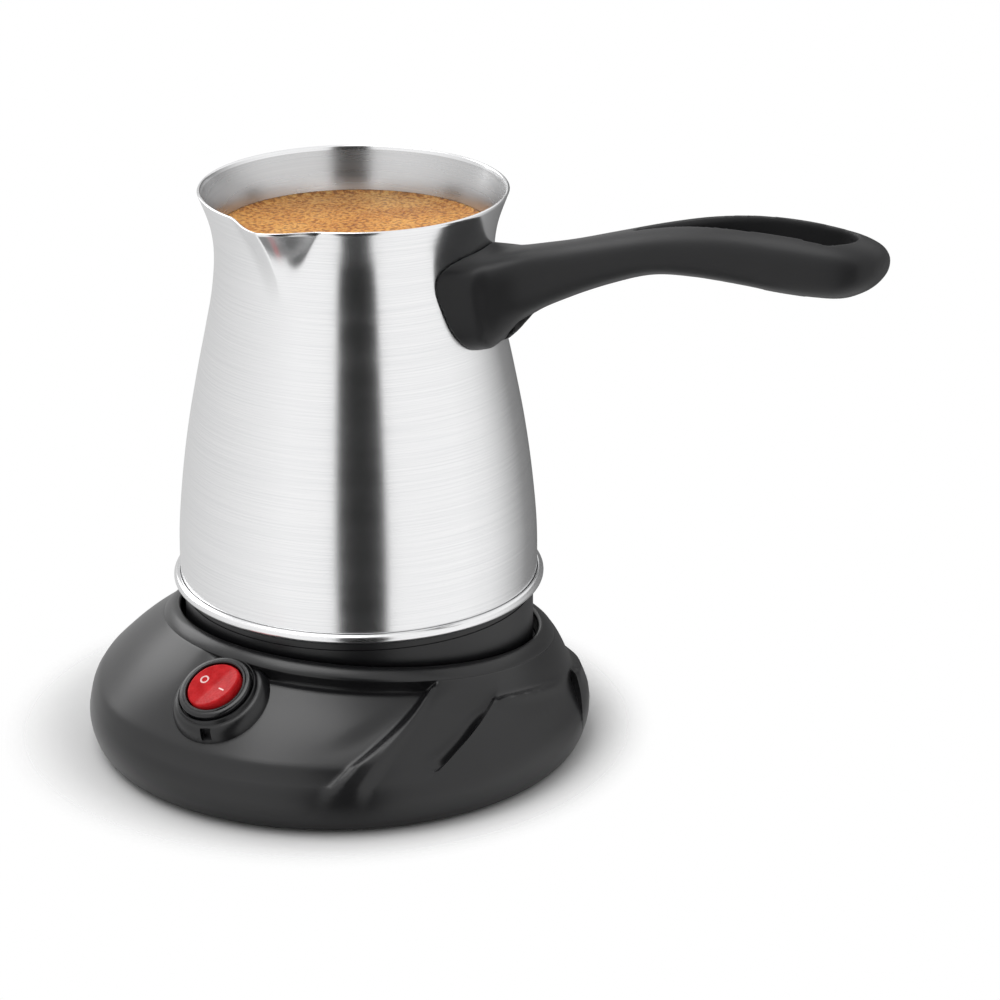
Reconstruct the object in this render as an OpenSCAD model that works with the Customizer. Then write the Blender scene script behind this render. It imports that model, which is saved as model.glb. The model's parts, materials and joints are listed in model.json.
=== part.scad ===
// Electric Turkish coffee maker: a steel pot with its heater, on a cordless base with a rocker switch.
// Millimetres. The origin is on the table, on the axis the pot turns about. +Z is up and +X runs
// along the handle.

/* [Pot] */
// Diameter of the rolled seam at the foot of the pot
seam_d = 96; // [95:0.5:97]
// Height of the seam's lower edge above the table
seam_z = 41; // [40.5:0.5:43]
// Thickness of the pot's wall
wall_t = 0.8; // [0.6:0.1:1]
// How far the pouring lip stands out of the rim
lip_reach = 6; // [4:0.5:7]
// Height of the pouring lip's fold
lip_fold_h = 21; // [18:1:24]
// Direction of the pouring lip, from the handle
lip_dir = -90; // [-95:1:-85]

/* [Handle] */
// Reach of the handle from the pot's axis
handle_reach = 144.5; // [140:0.5:150]
// Width of the grip
grip_w = 24; // [22:0.5:26]
// Width of the hanging slot in the grip
slot_w = 12.5; // [10:0.5:13]

/* [Skirt] */
// Diameter of the skirt below the seam
skirt_d = 90.6; // [90:0.1:90.8]
// Diameter of the hub that enters the base's well
hub_d = 60; // [58:0.5:60]

/* [Base] */
// Diameter of the base at its widest band
base_d = 130.6; // [129:0.2:134]
// How far the base's centre lies from the pot's axis, towards the switch
base_shift = 9; // [8:0.5:9.5]
// Direction of the control panel and its switch, from the handle
panel_dir = -96; // [-100:1:-92]
// Diameter of the seat that the skirt stands in
seat_d = 93; // [92.6:0.2:93.4]
// Height of the seat lip's plane on the pot's axis
lip_z = 30.3; // [30:0.1:31]
// Slope of the seat lip's plane, rising towards the panel
lip_slope = 7.6; // [7:0.2:8]
// Height of the feet below the base plate
foot_h = 1.6; // [1.4:0.1:1.8]

/* [Switch] */
// Diameter of the switch bezel
bezel_d = 19; // [18.6:0.2:19.4]
// Diameter of the rocker
rocker_d = 14.4; // [14:0.2:14.6]
// Tilt of the switch face from the horizontal
switch_tilt = 30; // [28:1:32]
// Angle the rocker travels between off and on
rocker_travel = 16; // [14:1:18]

/* [Cord inlet] */
// Diameter of the hole for the cord
cord_hole_d = 7.2; // [6.6:0.2:7.6]

/* [Hidden] */

steel = "#d4d6d8";
dark_steel = "#8d9094";
aluminium = "#b9bcbf";
brass = "#c9a24a";
black = "#2b2c2e";
soft_black = "#1d1d1f";
red = "#d3232c";
cream = "#e8e0cc";
silicone = "#b8b2a8";

smooth = 96;      // sides of a large round piece
small_round = 32; // sides of a pin, screw or hole

// ---- shared shapes -------------------------------------------------------------------------

// Catmull-Rom spline through the knots; t counts knots from 0.
function knot(k, i) = k[max(0, min(len(k) - 1, i))];
function blend4(a, b, c, d, u) =
    0.5 * (2 * b + (c - a) * u + (2 * a - 5 * b + 4 * c - d) * u * u
           + (3 * b - a - 3 * c + d) * u * u * u);
function along(k, t) =
    let (i = max(0, min(floor(t), len(k) - 2)))
    blend4(knot(k, i - 1), knot(k, i), knot(k, i + 1), knot(k, i + 2), t - i);

// 0 below a, 1 above b, smooth in between.
function ramp(x, a, b) = let (u = max(0, min(1, (x - a) / (b - a)))) u * u * (3 - 2 * u);
// An angle brought into -180..180.
function wrapped(a) = a - 360 * floor((a + 180) / 360);
function polar(r, a, z) = [r * cos(a), r * sin(a), z];

// A skin over rings of equal count. closed joins the last ring to the first; otherwise both ends
// get a fan of triangles about their centres.
module skin(rings, closed = false) {
    m = len(rings);
    n = len(rings[0]);
    points = [for (r = rings) each r];
    first_hub = [for (c = [0:2]) [for (p = rings[0]) p[c]] * [for (i = [1:n]) 1] / n];
    last_hub = [for (c = [0:2]) [for (p = rings[m - 1]) p[c]] * [for (i = [1:n]) 1] / n];
    bands = [
        for (i = [0:(closed ? m - 1 : m - 2)], j = [0:n - 1])
            let (a = i * n + j, b = i * n + (j + 1) % n,
                 c = ((i + 1) % m) * n + (j + 1) % n, d = ((i + 1) % m) * n + j)
            each [[a, c, b], [a, d, c]]
    ];
    caps = closed ? [] : [
        for (j = [0:n - 1])
            each [[m * n, j, (j + 1) % n],
                  [m * n + 1, (m - 1) * n + (j + 1) % n, (m - 1) * n + j]]
    ];
    polyhedron(closed ? points : concat(points, [first_hub, last_hub]), concat(bands, caps));
}

module around(count, radius, start = 0) {
    for (i = [0:count - 1])
        rotate(start + i * 360 / count) translate([radius, 0, 0]) children();
}

module tube(outer_d, inner_d, z0, z1) {
    translate([0, 0, z0]) difference() {
        cylinder(d = outer_d, h = z1 - z0, $fn = smooth);
        translate([0, 0, -1]) cylinder(d = inner_d, h = z1 - z0 + 2, $fn = smooth);
    }
}

module disc(d, z0, z1, fn = smooth) {
    translate([0, 0, z0]) cylinder(d = d, h = z1 - z0, $fn = fn);
}

// Screw along +Z with its head's underside at z = 0 and its shank going up.
module screw(d, length, head_d, head_h) {
    difference() {
        union() {
            cylinder(d = d, h = length, $fn = small_round);
            translate([0, 0, -head_h]) cylinder(d = head_d, h = head_h, $fn = small_round);
        }
        for (turn = [0, 90]) rotate(turn)
            translate([-head_d * 0.3, -0.4, -head_h - 0.1]) cube([head_d * 0.6, 0.8, head_h * 0.6]);
    }
}

// Wire through hand-set points, as an eight-sided sleeve.
module wire(route, d) {
    n = len(route);
    function heading(i) =
        let (v = route[min(n - 1, i + 1)] - route[max(0, i - 1)]) v / norm(v);
    function side(t) =
        let (s = cross(t, abs(t[2]) < 0.9 ? [0, 0, 1] : [1, 0, 0])) s / norm(s);
    skin([for (i = [0:n - 1])
        let (t = heading(i), s = side(t), u = cross(t, s))
        [for (a = [0:45:315]) route[i] + d / 2 * (cos(a) * s + sin(a) * u)]]);
}

// ---- pot -----------------------------------------------------------------------------------

// Outside of the pot: height above the seam's lower edge, radius.
pot_knots = [[1.6, 46.3], [14, 46.2], [28, 45], [42, 43.1], [56, 40.5], [68, 38],
             [78, 36.1], [88, 35.3], [96, 36.3], [104, 39.1]];
pot_rim = seam_z + pot_knots[len(pot_knots) - 1][0];
floor_top = seam_z + 3.6;   // inside of the pot's floor
floor_t = 1.2;

// Share of the lip's reach at an angle off its direction and a height: a pinched V fold.
lip_half_angle = 19;
function lip_push(off, z) =
    let (rise = max(0, (z - (pot_rim - lip_fold_h)) / lip_fold_h),
         half = lip_half_angle * (0.25 + 0.75 * rise),
         near = max(0, 1 - abs(off) / half))
    lip_reach * pow(rise, 1.5) * (near * near * (3 - 2 * near) * 0.55 + near * 0.45);

function pot_point(t, angle, inset) =
    let (k = along(pot_knots, t), z = seam_z + k[0])
    polar(k[1] - inset + lip_push(wrapped(angle - lip_dir), z), angle, z);

// Angles round the pot, closer together across the pouring lip.
lip_angles = [for (a = [-24:2:24]) lip_dir + a];
rest_angles = [for (i = [1:51]) lip_dir + 24 + i * 312 / 52];
pot_angles = concat(lip_angles, rest_angles);

module pot_body() color(steel) {
    last = len(pot_knots) - 1;
    steps = concat([for (t = [0:1:5]) t], [for (t = [5.5:0.5:last - 0.5]) t], [last - 0.2, last]);
    up = [for (t = steps) [for (a = pot_angles) pot_point(t, a, 0)]];
    down = [for (i = [len(steps) - 1:-1:0]) [for (a = pot_angles) pot_point(steps[i], a, wall_t)]];
    skin(concat(up, down), closed = true);
}

// Steel floor; its edge is rolled round the wall's foot and makes the bright seam.
module heater_plate() color(steel) {
    wall_in = pot_knots[0][1] - wall_t - 0.1;
    bead = 1.3;
    rotate_extrude($fn = smooth) {
        polygon([[0, floor_top - floor_t], [wall_in - 0.8, floor_top - floor_t],
                 [wall_in - 0.8, seam_z + 0.6], [wall_in + 0.4, seam_z], [seam_d / 2 - bead, seam_z],
                 [seam_d / 2 - bead, seam_z + 1.5], [wall_in, seam_z + 1.5], [wall_in, floor_top],
                 [0, floor_top]]);
        translate([seam_d / 2 - bead, seam_z + bead]) intersection() {
            circle(r = bead, $fn = small_round);
            translate([-0.3, -bead]) square([2 * bead, 2 * bead]);
        }
    }
}

// Soft ring between the skirt's top edge and the pot's floor.
module floor_seal() color(silicone)
    tube(skirt_d - 1.8, skirt_d - 3.8, seam_z - 0.05, floor_top - floor_t - 0.05);

spreader_bottom = floor_top - floor_t - 3;
module heat_spreader() color(aluminium)
    disc(68, spreader_bottom, floor_top - floor_t - 0.05);

// Ring heater: a tube bent to an open ring, with a cold pin down from each end.
element_r = 27;
element_tube = 6.6;
element_z = spreader_bottom - element_tube / 2 - 0.05;
pin_angles = [66, 114];
element_gap = 40;                  // degrees left open between the tube's ends
module heating_element() color(dark_steel) {
    translate([0, 0, element_z]) rotate(90 + element_gap / 2)
        rotate_extrude(angle = 360 - element_gap, $fn = smooth)
            translate([element_r, 0]) circle(d = element_tube, $fn = small_round);
    for (a = pin_angles) rotate(a) translate([element_r, 0, 0])
        disc(3, element_z - 9, element_z, small_round);
}

module element_insulators() color(cream)
    for (a = pin_angles) rotate(a) translate([element_r, 0, 0])
        tube(6, 3.1, element_z - 7.5, element_z - element_tube / 2 - 0.2);

thermostat_d = 16;
module dry_boil_thermostat() color(soft_black) {
    disc(thermostat_d, spreader_bottom - 6, spreader_bottom - 0.05, 48);
    for (side = [-1, 1])
        translate([side * 5 - 0.4, -2, spreader_bottom - 10]) cube([0.8, 4, 4.5]);
}

module thermostat_clip() color(dark_steel) {
    clip_z = spreader_bottom - 6.85;
    translate([-4, -15, clip_z]) cube([8, 30, 0.8]);
    for (side = [-1, 1]) translate([-4, side * 14.5 - 0.5, clip_z])
        cube([8, 1, spreader_bottom - 0.05 - clip_z]);
}

// Threaded posts welded under the floor; the skirt's long screws end in them.
post_r = 38;
module skirt_posts() color(brass)
    around(3, post_r, 30) tube(6, 2.8, seam_z - 6, floor_top - floor_t - 0.05);

// ---- skirt ---------------------------------------------------------------------------------

seat_floor = 21;                   // shelf in the base that the skirt stands on
stand_gap = 0.3;
skirt_bottom = seat_floor + stand_gap;
skirt_wall = 2;
hub_bottom = 12;
cover_z = skirt_bottom + 2;        // top of the skirt's inner shelf
cover_screw_r = 34;

module pot_skirt() color(black) difference() {
    rotate_extrude($fn = smooth) polygon([
        [32, skirt_bottom], [skirt_d / 2 - 1, skirt_bottom], [skirt_d / 2, skirt_bottom + 1],
        [skirt_d / 2, seam_z - 0.1], [skirt_d / 2 - skirt_wall, seam_z - 0.1],
        [skirt_d / 2 - skirt_wall, cover_z], [32, cover_z]]);
    around(3, post_r, 30) disc(3.4, skirt_bottom - 1, cover_z + 1, small_round);
    around(3, post_r, 30) disc(6.4, skirt_bottom - 1, skirt_bottom + 0.8, small_round);
    around(3, cover_screw_r, 90) disc(2.2, skirt_bottom + 0.3, cover_z + 1, small_round);
}

module skirt_screws() color(dark_steel)
    around(3, post_r, 30) translate([0, 0, skirt_bottom + 0.8])
        screw(2.6, seam_z - 3 - skirt_bottom, 5.6, 0.6);

// Cup that closes the skirt below and carries the connector.
connector_d = 40;
module skirt_cover() color(black) difference() {
    union() {
        tube(72, hub_d - 4, cover_z, cover_z + 2);
        tube(hub_d, hub_d - 4, hub_bottom + 0.6, cover_z + 0.5);
        disc(hub_d - 0.8, hub_bottom, hub_bottom + 2);
    }
    disc(connector_d + 0.4, hub_bottom - 1, hub_bottom + 3);
    around(3, cover_screw_r, 90) disc(2.2, cover_z - 1, cover_z + 3, small_round);
}

module cover_screws() color(dark_steel)
    around(3, cover_screw_r, 90) translate([0, 0, cover_z + 2])
        rotate([180, 0, 0]) screw(2.1, 3.5, 4, 1.4);

// ---- cordless connector --------------------------------------------------------------------

post_d = 30;
post_top = 20;
web_z = post_top + 0.6;            // underside of the pot connector's web
web_t = 5;
ring_mean = [6, 10.6];             // radii of the inner and outer contact rings
ring_t = 0.8;
contact_end = hub_bottom + 1;      // lowest point of the contact rings
pin_d = 5;
pin_end = hub_bottom + 0.4;
contact_top = web_z + web_t + 2;
ring_top = web_z + 3.2;            // the rings end inside the web
fit_gap = 0.05;                    // radial play of the contacts in the web

module pot_connector() color(soft_black) difference() {
    union() {
        disc(connector_d, hub_bottom, web_z + web_t);
        disc(connector_d + 8, hub_bottom + 2.05, hub_bottom + 4);
    }
    disc(post_d + 1.2, hub_bottom - 1, web_z);
    disc(pin_d + 2 * fit_gap, web_z - 1, web_z + web_t + 1);
    for (r = ring_mean) difference() {
        disc(2 * r + ring_t + 2 * fit_gap, web_z - 1, ring_top + 0.1);
        disc(2 * r - ring_t - 2 * fit_gap, web_z - 2, ring_top + 1);
    }
}

module contact_pin() color(brass) {
    disc(pin_d, pin_end + 1, contact_top, 48);
    translate([0, 0, pin_end]) cylinder(d1 = pin_d - 2, d2 = pin_d, h = 1, $fn = 48);
}

module contact_ring(r) color(brass)
    tube(2 * r + ring_t, 2 * r - ring_t, contact_end, ring_top);

module inner_ring() contact_ring(ring_mean[0]);
module outer_ring() contact_ring(ring_mean[1]);

module pot_leads() color("#c8452f") {
    web_top = web_z + web_t;
    for (side = [-1, 1]) {
        a = pin_angles[side < 0 ? 0 : 1];
        wire([polar(element_r, a, element_z - 9.8), polar(element_r - 1, a, element_z - 10.6),
              polar(22, a + side * 12, web_top + 1.7), polar(17, a + side * 24, web_top + 0.9),
              polar(12, a + side * 30, web_top + 0.9)], 1.6);
    }
}

// ---- handle --------------------------------------------------------------------------------

// Stations along the handle: distance from the pot's axis, height of the middle, half height,
// half width, and how much the section narrows downwards.
tip = handle_reach;
half_grip = grip_w / 2;
handle_knots = [
    [34, 121.8, 12.4, 17.4, 0.42], [41, 122.6, 12.3, 15.8, 0.42], [45, 124.6, 11.2, 13, 0.36],
    [52, 129.3, 8.6, 9.4, 0.25], [62, 133.6, 7.1, 8.2, 0.15], [74, 138.3, 6.2, 8.4, 0.1],
    [86, 142.4, 5.8, 9.3, 0.1], [98, 144.9, 6.4, half_grip - 1.5, 0.1],
    [110, 146, 7.2, half_grip - 0.4, 0.12], [122, 146, 7.6, half_grip, 0.12],
    [tip - 11, 145.8, 7, half_grip - 0.9, 0.12], [tip - 4, 146.3, 4.9, 8, 0.1],
    [tip, 147.6, 0.9, 1.8, 0]];
section_power = 2.5;
foot_gap = 0.2;                    // between the foot's face and the wall

function power_of(v, p) = sign(v) * pow(abs(v), 2 / p);
function handle_ring(k) =
    [for (a = [0:12:348])
        let (up = power_of(sin(a), section_power), out = power_of(cos(a), section_power))
        [k[0], k[3] * out * (1 - k[4] * (1 - up) / 2), k[1] + k[2] * up]];

// Outside radius of the pot's neck at a height, for the foot's hollowed face.
function wall_knot(z, i = 0) =
    i >= len(pot_knots) - 2 || pot_knots[i + 1][0] + seam_z > z ? i : wall_knot(z, i + 1);
function wall_r(z) =
    let (i = wall_knot(z), a = pot_knots[i], b = pot_knots[i + 1])
    along(pot_knots, i + (z - seam_z - a[0]) / (b[0] - a[0]))[1];
// The foot's face, shrunk by a share about its middle and laid on the wall.
function foot_ring(share) =
    let (k = handle_knots[0])
    [for (p = handle_ring(k))
        let (y = p[1] * share, z = k[1] + (p[2] - k[1]) * share, r = wall_r(z) + foot_gap)
        [sqrt(r * r - y * y), y, z]];

slot_start = 80;
slot_end = tip - 8;
slot_steps = 10;
// Hanging slot: a chain of round posts, pointed at the pot's side and round at the tip.
function slot_post(i) =
    let (u = i / (slot_steps - 1), last_x = slot_end - slot_w / 2)
    i == slot_steps ? [last_x, slot_w / 2]
                    : [slot_start + (slot_w + 20) * u, 0.5 + (slot_w / 2 - 0.5) * ramp(u, -0.1, 1.1)];
module handle_slot()
    for (i = [0:slot_steps - 1]) hull()
        for (post = [slot_post(i), slot_post(i + 1)])
            translate([post[0], 0, 120]) cylinder(r = post[1], h = 60, $fn = 24);

module pot_envelope(gap) {
    last = len(pot_knots) - 1;
    side = [for (t = [4:0.5:last]) let (k = along(pot_knots, t)) [k[1] + gap, seam_z + k[0]]];
    rotate_extrude($fn = smooth) polygon(concat([[0, side[0][1]]], side, [[0, pot_rim]]));
}

bracket_z = 125;
bracket_t = 2.4;
bracket_w = 13;
bracket_end = 52;
handle_screw_x = [41.5, 48];
screw_seat = [4, 1.8];             // how far each screw's head sits below the bracket

saddle_z = 118;
saddle_h = 12;
saddle_w = 16;
foot_hollow_x = 38.4;

module handle() color(black) difference() {
    last = len(handle_knots) - 1;
    stations = concat([for (t = [1:0.5:last - 1]) t], [last - 0.6, last - 0.3, last - 0.1, last]);
    skin(concat([for (share = [0.3, 0.65, 1]) foot_ring(share)],
                [for (t = stations) handle_ring(along(handle_knots, t))]));
    handle_slot();
    // pocket for the bracket
    translate([30, -bracket_w / 2 - 0.2, bracket_z - 0.2])
        cube([bracket_end - 29.8, bracket_w + 0.4, bracket_t + 3.4]);
    // hollow for the saddle
    translate([25, -saddle_w / 2 - 0.3, saddle_z - 0.3])
        cube([foot_hollow_x - 25, saddle_w + 0.6, saddle_h + 0.6]);
    for (i = [0, 1]) translate([handle_screw_x[i], 0, 0]) {
        disc(4.4, 100, bracket_z + 1, small_round);
        disc(7.4, 100, bracket_z - screw_seat[i], small_round);
    }
}

// Saddle welded to the neck, and the tongue that reaches into the handle.
module handle_bracket() color(dark_steel) difference() {
    union() {
        intersection() {
            difference() {
                pot_envelope(1.3);
                pot_envelope(0.05);
            }
            translate([25, -saddle_w / 2, saddle_z]) cube([30, saddle_w, saddle_h]);
        }
        translate([33, -bracket_w / 2, bracket_z]) cube([bracket_end - 33, bracket_w, bracket_t]);
    }
    for (x = handle_screw_x) translate([x, 0, 0]) disc(4.2, bracket_z - 1, bracket_z + 4, small_round);
    pot_envelope(0.05);
}

module handle_screws() color(dark_steel)
    for (i = [0, 1]) translate([handle_screw_x[i], 0, bracket_z - screw_seat[i]])
        screw(3.9, screw_seat[i] + bracket_t + 2.4, 7, 2);

module handle_nuts() color(dark_steel)
    for (x = handle_screw_x) translate([x, 0, 0]) rotate(30) difference() {
        disc(6.8, bracket_z + bracket_t + 0.02, bracket_z + bracket_t + 2.6, 6);
        disc(3.95, bracket_z, bracket_z + 8, small_round);
    }

// ---- base housing --------------------------------------------------------------------------

base_r = base_d / 2;
lip_rise = tan(lip_slope);
// Distance from the pot's axis to a circle of radius r about the base's own centre; psi is
// measured from the panel's direction.
function reach(psi, r) = base_shift * cos(psi) + sqrt(r * r - pow(base_shift * sin(psi), 2));
function lip_height(psi, r) = lip_z + lip_rise * r * cos(psi);

// The control panel is sunk under the lip by a step between these angles.
panel_from = -15.5;
panel_to = 58.5;
step_h = 3.4;
function step_at(psi) = step_h * ramp(psi, panel_from, panel_from + 22)
                        * (1 - ramp(psi, panel_to - 2, panel_to + 1));

// Ridge that borders the panel, and the swept lobes that follow it round the back. Both lean:
// they turn back by so many degrees for each millimetre outwards.
ridge_lean = 1.12;
lobe_lean = 1.8;
first_crease = 78;
lobe_pitch = 40.5;
lobe_count = 5;
lobe_from_r = [52, 56];            // the lobes rise to their full swell between these radii

function ridge_swell(psi, r) =
    let (off = psi - (panel_to - ridge_lean * (r - 50)), half = 2.2 + 0.12 * max(0, r - 50))
    1.5 * pow(max(0, cos(90 * min(1, abs(off) / half / 1.6))), 2);
function valley_dip(psi, r) =
    let (a = panel_to + 2 - ridge_lean * (r - 50), b = first_crease - lobe_lean * (r - 54),
         u = (psi - a) / max(4, b - a))
    u <= 0 || u >= 1 ? 0 : -1.9 * sin(180 * pow(u, 1.25)) - 0.9 * u;
function lobe_swell(psi, r) =
    let (q = psi + lobe_lean * (r - 54), n = (q - first_crease) / lobe_pitch, f = n - floor(n))
    n < 0 || n >= lobe_count ? 0
        : (1.2 - 2.1 * pow(f, 1.2)) * ramp(r, lobe_from_r[0], lobe_from_r[1])
          * (1 - ramp(n, lobe_count - 0.6, lobe_count));

function relief(psi, r, fade) =
    let (p = psi < -79 ? psi + 360 : psi)
    fade * (ridge_swell(p, r) + valley_dip(p, r) + lobe_swell(p, r));

// Outline of the housing at an angle, from the lip inwards edge to the foot: [radius, height,
// share of the relief, lean share].
function crease_z(psi) = 17 + 5 * ramp(-psi, 20, 70) * (1 - ramp(-psi, 100, 170));
function housing_outline(psi) =
    let (w = reach(psi, base_r), zl = lip_height(psi, seat_d / 2), s = step_at(psi),
         zc = min(crease_z(psi), zl - 6), rc = w - 4.6 - 0.25 * (zc - 17),
         top = [51, zl - 2.6 - s])
    concat(
        [[45.4, zl - 0.9, 0, 0], [47.4, zl, 0, 0], [49, zl - 0.5, 0, 0], [50.4, zl - 1.7, 0.2, 0],
         [top[0], top[1], 0.8, 0]],
        [for (u = [0.18:0.164:0.99]) let (r = top[0] + (rc - top[0]) * u)
            [r, top[1] + (zc - top[1]) * u + 0.8 * sin(180 * u), 1, r - top[0]]],
        [[rc, zc, 0.95, rc - top[0]], [w - 2.3, zc - 3.2, 0.75, w - 53],
         [w - 0.6, zc * 0.66 + 0.6, 0.45, w - 52], [w, 8.6, 0.2, w - 51.5],
         [w - 0.7, 4.6, 0, w - 51.5], [w - 2.4, foot_h - 0.4, 0, w - 51.5]]);

housing_sides = 144;
function housing_point(q, i) =
    let (lean = ridge_lean * ramp(q, 5, 56) + (lobe_lean - ridge_lean) * ramp(q, 58, 76)
                - lobe_lean * ramp(q, 282, 345),
         o0 = housing_outline(wrapped(q))[i],
         psi = wrapped(q - lean * min(o0[3], 20)),
         o = housing_outline(psi)[i],
         d = relief(psi, o[0], o[2]))
    polar(o[0] + 0.6 * d, psi + panel_dir, o[1] + 0.8 * d);

module housing_form() {
    rows = len(housing_outline(0));
    skin([for (i = [rows - 1:-1:0])
        [for (j = [0:housing_sides - 1]) housing_point(j * 360 / housing_sides, i)]]);
}

// Hollow inside the housing, open below.
plate_r = 60.6;
hollow_top = 4.2;                  // thickness of the lip's crown
well_d = hub_d + 2;
well_floor = 11;
shell_t = 2;
function hollow_outline(psi) =
    let (zl = lip_height(psi, seat_d / 2), s = step_at(psi), w = reach(psi, plate_r + 0.4),
         zc = min(crease_z(psi), zl - 6))
    [[w, -1], [w, 9], [w - 4, zc - 3.8], [max(seat_d / 2 + 2.6, w - 14), (zc + zl - s) / 2 - 3.4],
     [seat_d / 2 + 2.1, zl - hollow_top - s - 1.4], [seat_d / 2 + 2, seat_floor - shell_t]];

module hollow_form() {
    rows = len(hollow_outline(0));
    skin([for (i = [0:rows - 1]) [for (j = [0:71])
        let (o = hollow_outline(wrapped(j * 5))[i]) polar(o[0], j * 5 + panel_dir, o[1])]]);
}

// Switch frame: z along the switch's own axis, x from the off side to the on side.
switch_r = 60.3;
switch_z = 31.2;
switch_spin = 75;
module at_switch() {
    rotate(panel_dir) translate([switch_r, 0, switch_z]) rotate([0, switch_tilt, 0])
        rotate(switch_spin) children();
}

// Axis of the cord's way in, opposite the panel.
cord_z = 9;
module at_cord() {
    rotate(panel_dir + 180) translate([reach(180, base_r), 0, cord_z]) rotate([0, 90, 0]) children();
}

pedestal_d = 24.6;
barrel_d = 16.4;
boss_spots = [20, 110, 250, 340];  // plate screws, measured from the panel's direction
boss_r = 52;
module at_bosses() {
    rotate(panel_dir) translate([base_shift, 0, 0])
        for (a = boss_spots) rotate(a) translate([boss_r, 0, 0]) children();
}

module base_housing() color(black) difference() {
    union() {
        difference() {
            housing_form();
            difference() {
                hollow_form();
                disc(well_d + 2 * shell_t, well_floor - shell_t, seat_floor + 5);
            }
        }
        // pedestal that carries the switch, merged into the panel
        at_switch() difference() {
            translate([0, 0, -9]) cylinder(d1 = pedestal_d + 1, d2 = pedestal_d - 0.8, h = 6.6, $fn = smooth);
            translate([0, 0, -3.6]) difference() {
                cylinder(d = bezel_d + 2.6, h = 3, $fn = smooth);
                translate([0, 0, -1]) cylinder(d = bezel_d + 0.4, h = 5, $fn = smooth);
            }
            rotate(-90 + 32) translate([9, -1.9, -5.6]) cube([6, 3.8, 5]);
        }
        at_bosses() disc(6.6, foot_h + 2.05, seat_floor - shell_t + 0.6, small_round);
    }
    at_bosses() disc(2.9, 0, 12, small_round);
    disc(seat_d, seat_floor, 60);
    disc(well_d, well_floor, 60);
    disc(post_d + 4, 0, 60);
    around(3, connector_screw_r) disc(2.6, 0, well_floor - 0.6, small_round);
    at_switch() translate([0, 0, -9.5]) cylinder(d = barrel_d + 0.4, h = 20, $fn = smooth);
    at_switch() translate([-block[0] / 2 - 0.3, -block[1] / 2 - 0.3, block_to])
        cube([block[0] + 0.6, block[1] + 0.6, 6]);
    at_cord() translate([0, 0, -gland_l]) cylinder(d = gland_d + 0.4, h = 30, $fn = smooth);
    at_cord() translate([0, 0, -2.1]) cylinder(d = collar_d + 0.4, h = 20, $fn = smooth);
}

module base_plate() color(soft_black) difference() {
    rotate(panel_dir) translate([base_shift, 0, 0]) disc(2 * plate_r, foot_h, foot_h + 2);
    at_bosses() disc(3.4, 0, 10, small_round);
    at_bosses() disc(6.4, 0, foot_h + 0.9, small_round);
    at_feet() disc(5, 0, 10, small_round);
    at_clamp_screws() disc(2.6, 0, 10, small_round);
}

module plate_screws() color(dark_steel)
    at_bosses() translate([0, 0, foot_h + 0.9]) screw(2.8, 6.4, 5.6, 0.8);

foot_spots = [45, 135, 225, 315];   // measured from the panel's direction
module at_feet() {
    rotate(panel_dir) translate([base_shift, 0, 0])
        for (a = foot_spots) rotate(a) translate([52, 0, 0]) children();
}
module rubber_feet() color("#38383a") at_feet() {
    disc(11, 0, foot_h - 0.02, 48);
    disc(4.9, foot_h - 0.5, foot_h + 2.6, small_round);
}

// ---- base connector ------------------------------------------------------------------------

flange_d = 44;
connector_screw_r = 19;
module base_connector() color(soft_black) difference() {
    union() {
        disc(post_d, 6.6, post_top);
        disc(flange_d, 6.6, well_floor - shell_t - 0.02);
    }
    disc(pin_d + 1.2, 4, post_top + 1);
    for (r = ring_mean) difference() {
        disc(2 * r + ring_t + 1.2, 9.4, post_top + 1);
        disc(2 * r - ring_t - 1.2, 9, post_top + 2);
    }
    around(3, connector_screw_r) disc(2.6, 4, 12, small_round);
}

// Contact leaves in the floor of each slot, and the socket under the pin.
module pin_socket() color(brass) difference() {
    disc(pin_d + 1.1, 4.6, 11, 48);
    disc(pin_d - 1.6, 6, 12, 48);
}
module contact_leaf(r) color(brass) {
    translate([0, 0, 9.45]) difference() {
        cylinder(d = 2 * r + ring_t + 1, h = 1.2, $fn = smooth);
        translate([0, 0, -1]) cylinder(d = 2 * r - ring_t - 1, h = 4, $fn = smooth);
    }
}
module inner_contact() contact_leaf(ring_mean[0]);
module outer_contact() contact_leaf(ring_mean[1]);

module connector_cover() color(cream) difference() {
    disc(flange_d, 4.6, 6.55);
    disc(28, 4, 8);
    around(3, connector_screw_r) disc(2.6, 4, 8, small_round);
}

module connector_screws() color(dark_steel)
    around(3, connector_screw_r) translate([0, 0, 4.55]) screw(2.5, 5.6, 3.6, 0.8);

// ---- switch --------------------------------------------------------------------------------

pivot_drop = 1.7;                  // depth of the rocker's axis below the switch face
rocker_rest = -rocker_travel / 2;  // tilt of the rocker when off

module switch_bezel() color(black) at_switch() difference() {
    rotate_extrude($fn = smooth) polygon([
        [0, -8], [barrel_d / 2, -8], [barrel_d / 2, -2.35], [bezel_d / 2, -2.35],
        [bezel_d / 2, -1.5], [bezel_d / 2 - 0.9, -0.6], [rocker_d / 2 + 0.9, -0.35],
        [0, -0.35]]);
    translate([0, 0, -6.6]) cylinder(d = rocker_d + 0.6, h = 10, $fn = smooth);
    translate([-6, -4, -9]) cube([12, 8, 4]);
}

module rocker_shape() {
    ball = rocker_d / 2;
    dish = 8;                      // slope of the two halves of its face
    rise = ball * tan(dish);
    intersection() {
        sphere(r = ball, $fn = smooth);
        rotate([90, 0, 0]) translate([0, 0, -10]) linear_extrude(20)
            polygon([[-10, -2.4], [10, -2.4], [10, pivot_drop - 0.5 + rise * 10 / ball],
                     [0, pivot_drop - 0.5], [-10, pivot_drop - 0.5 + rise * 10 / ball]]);
    }
}

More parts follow.
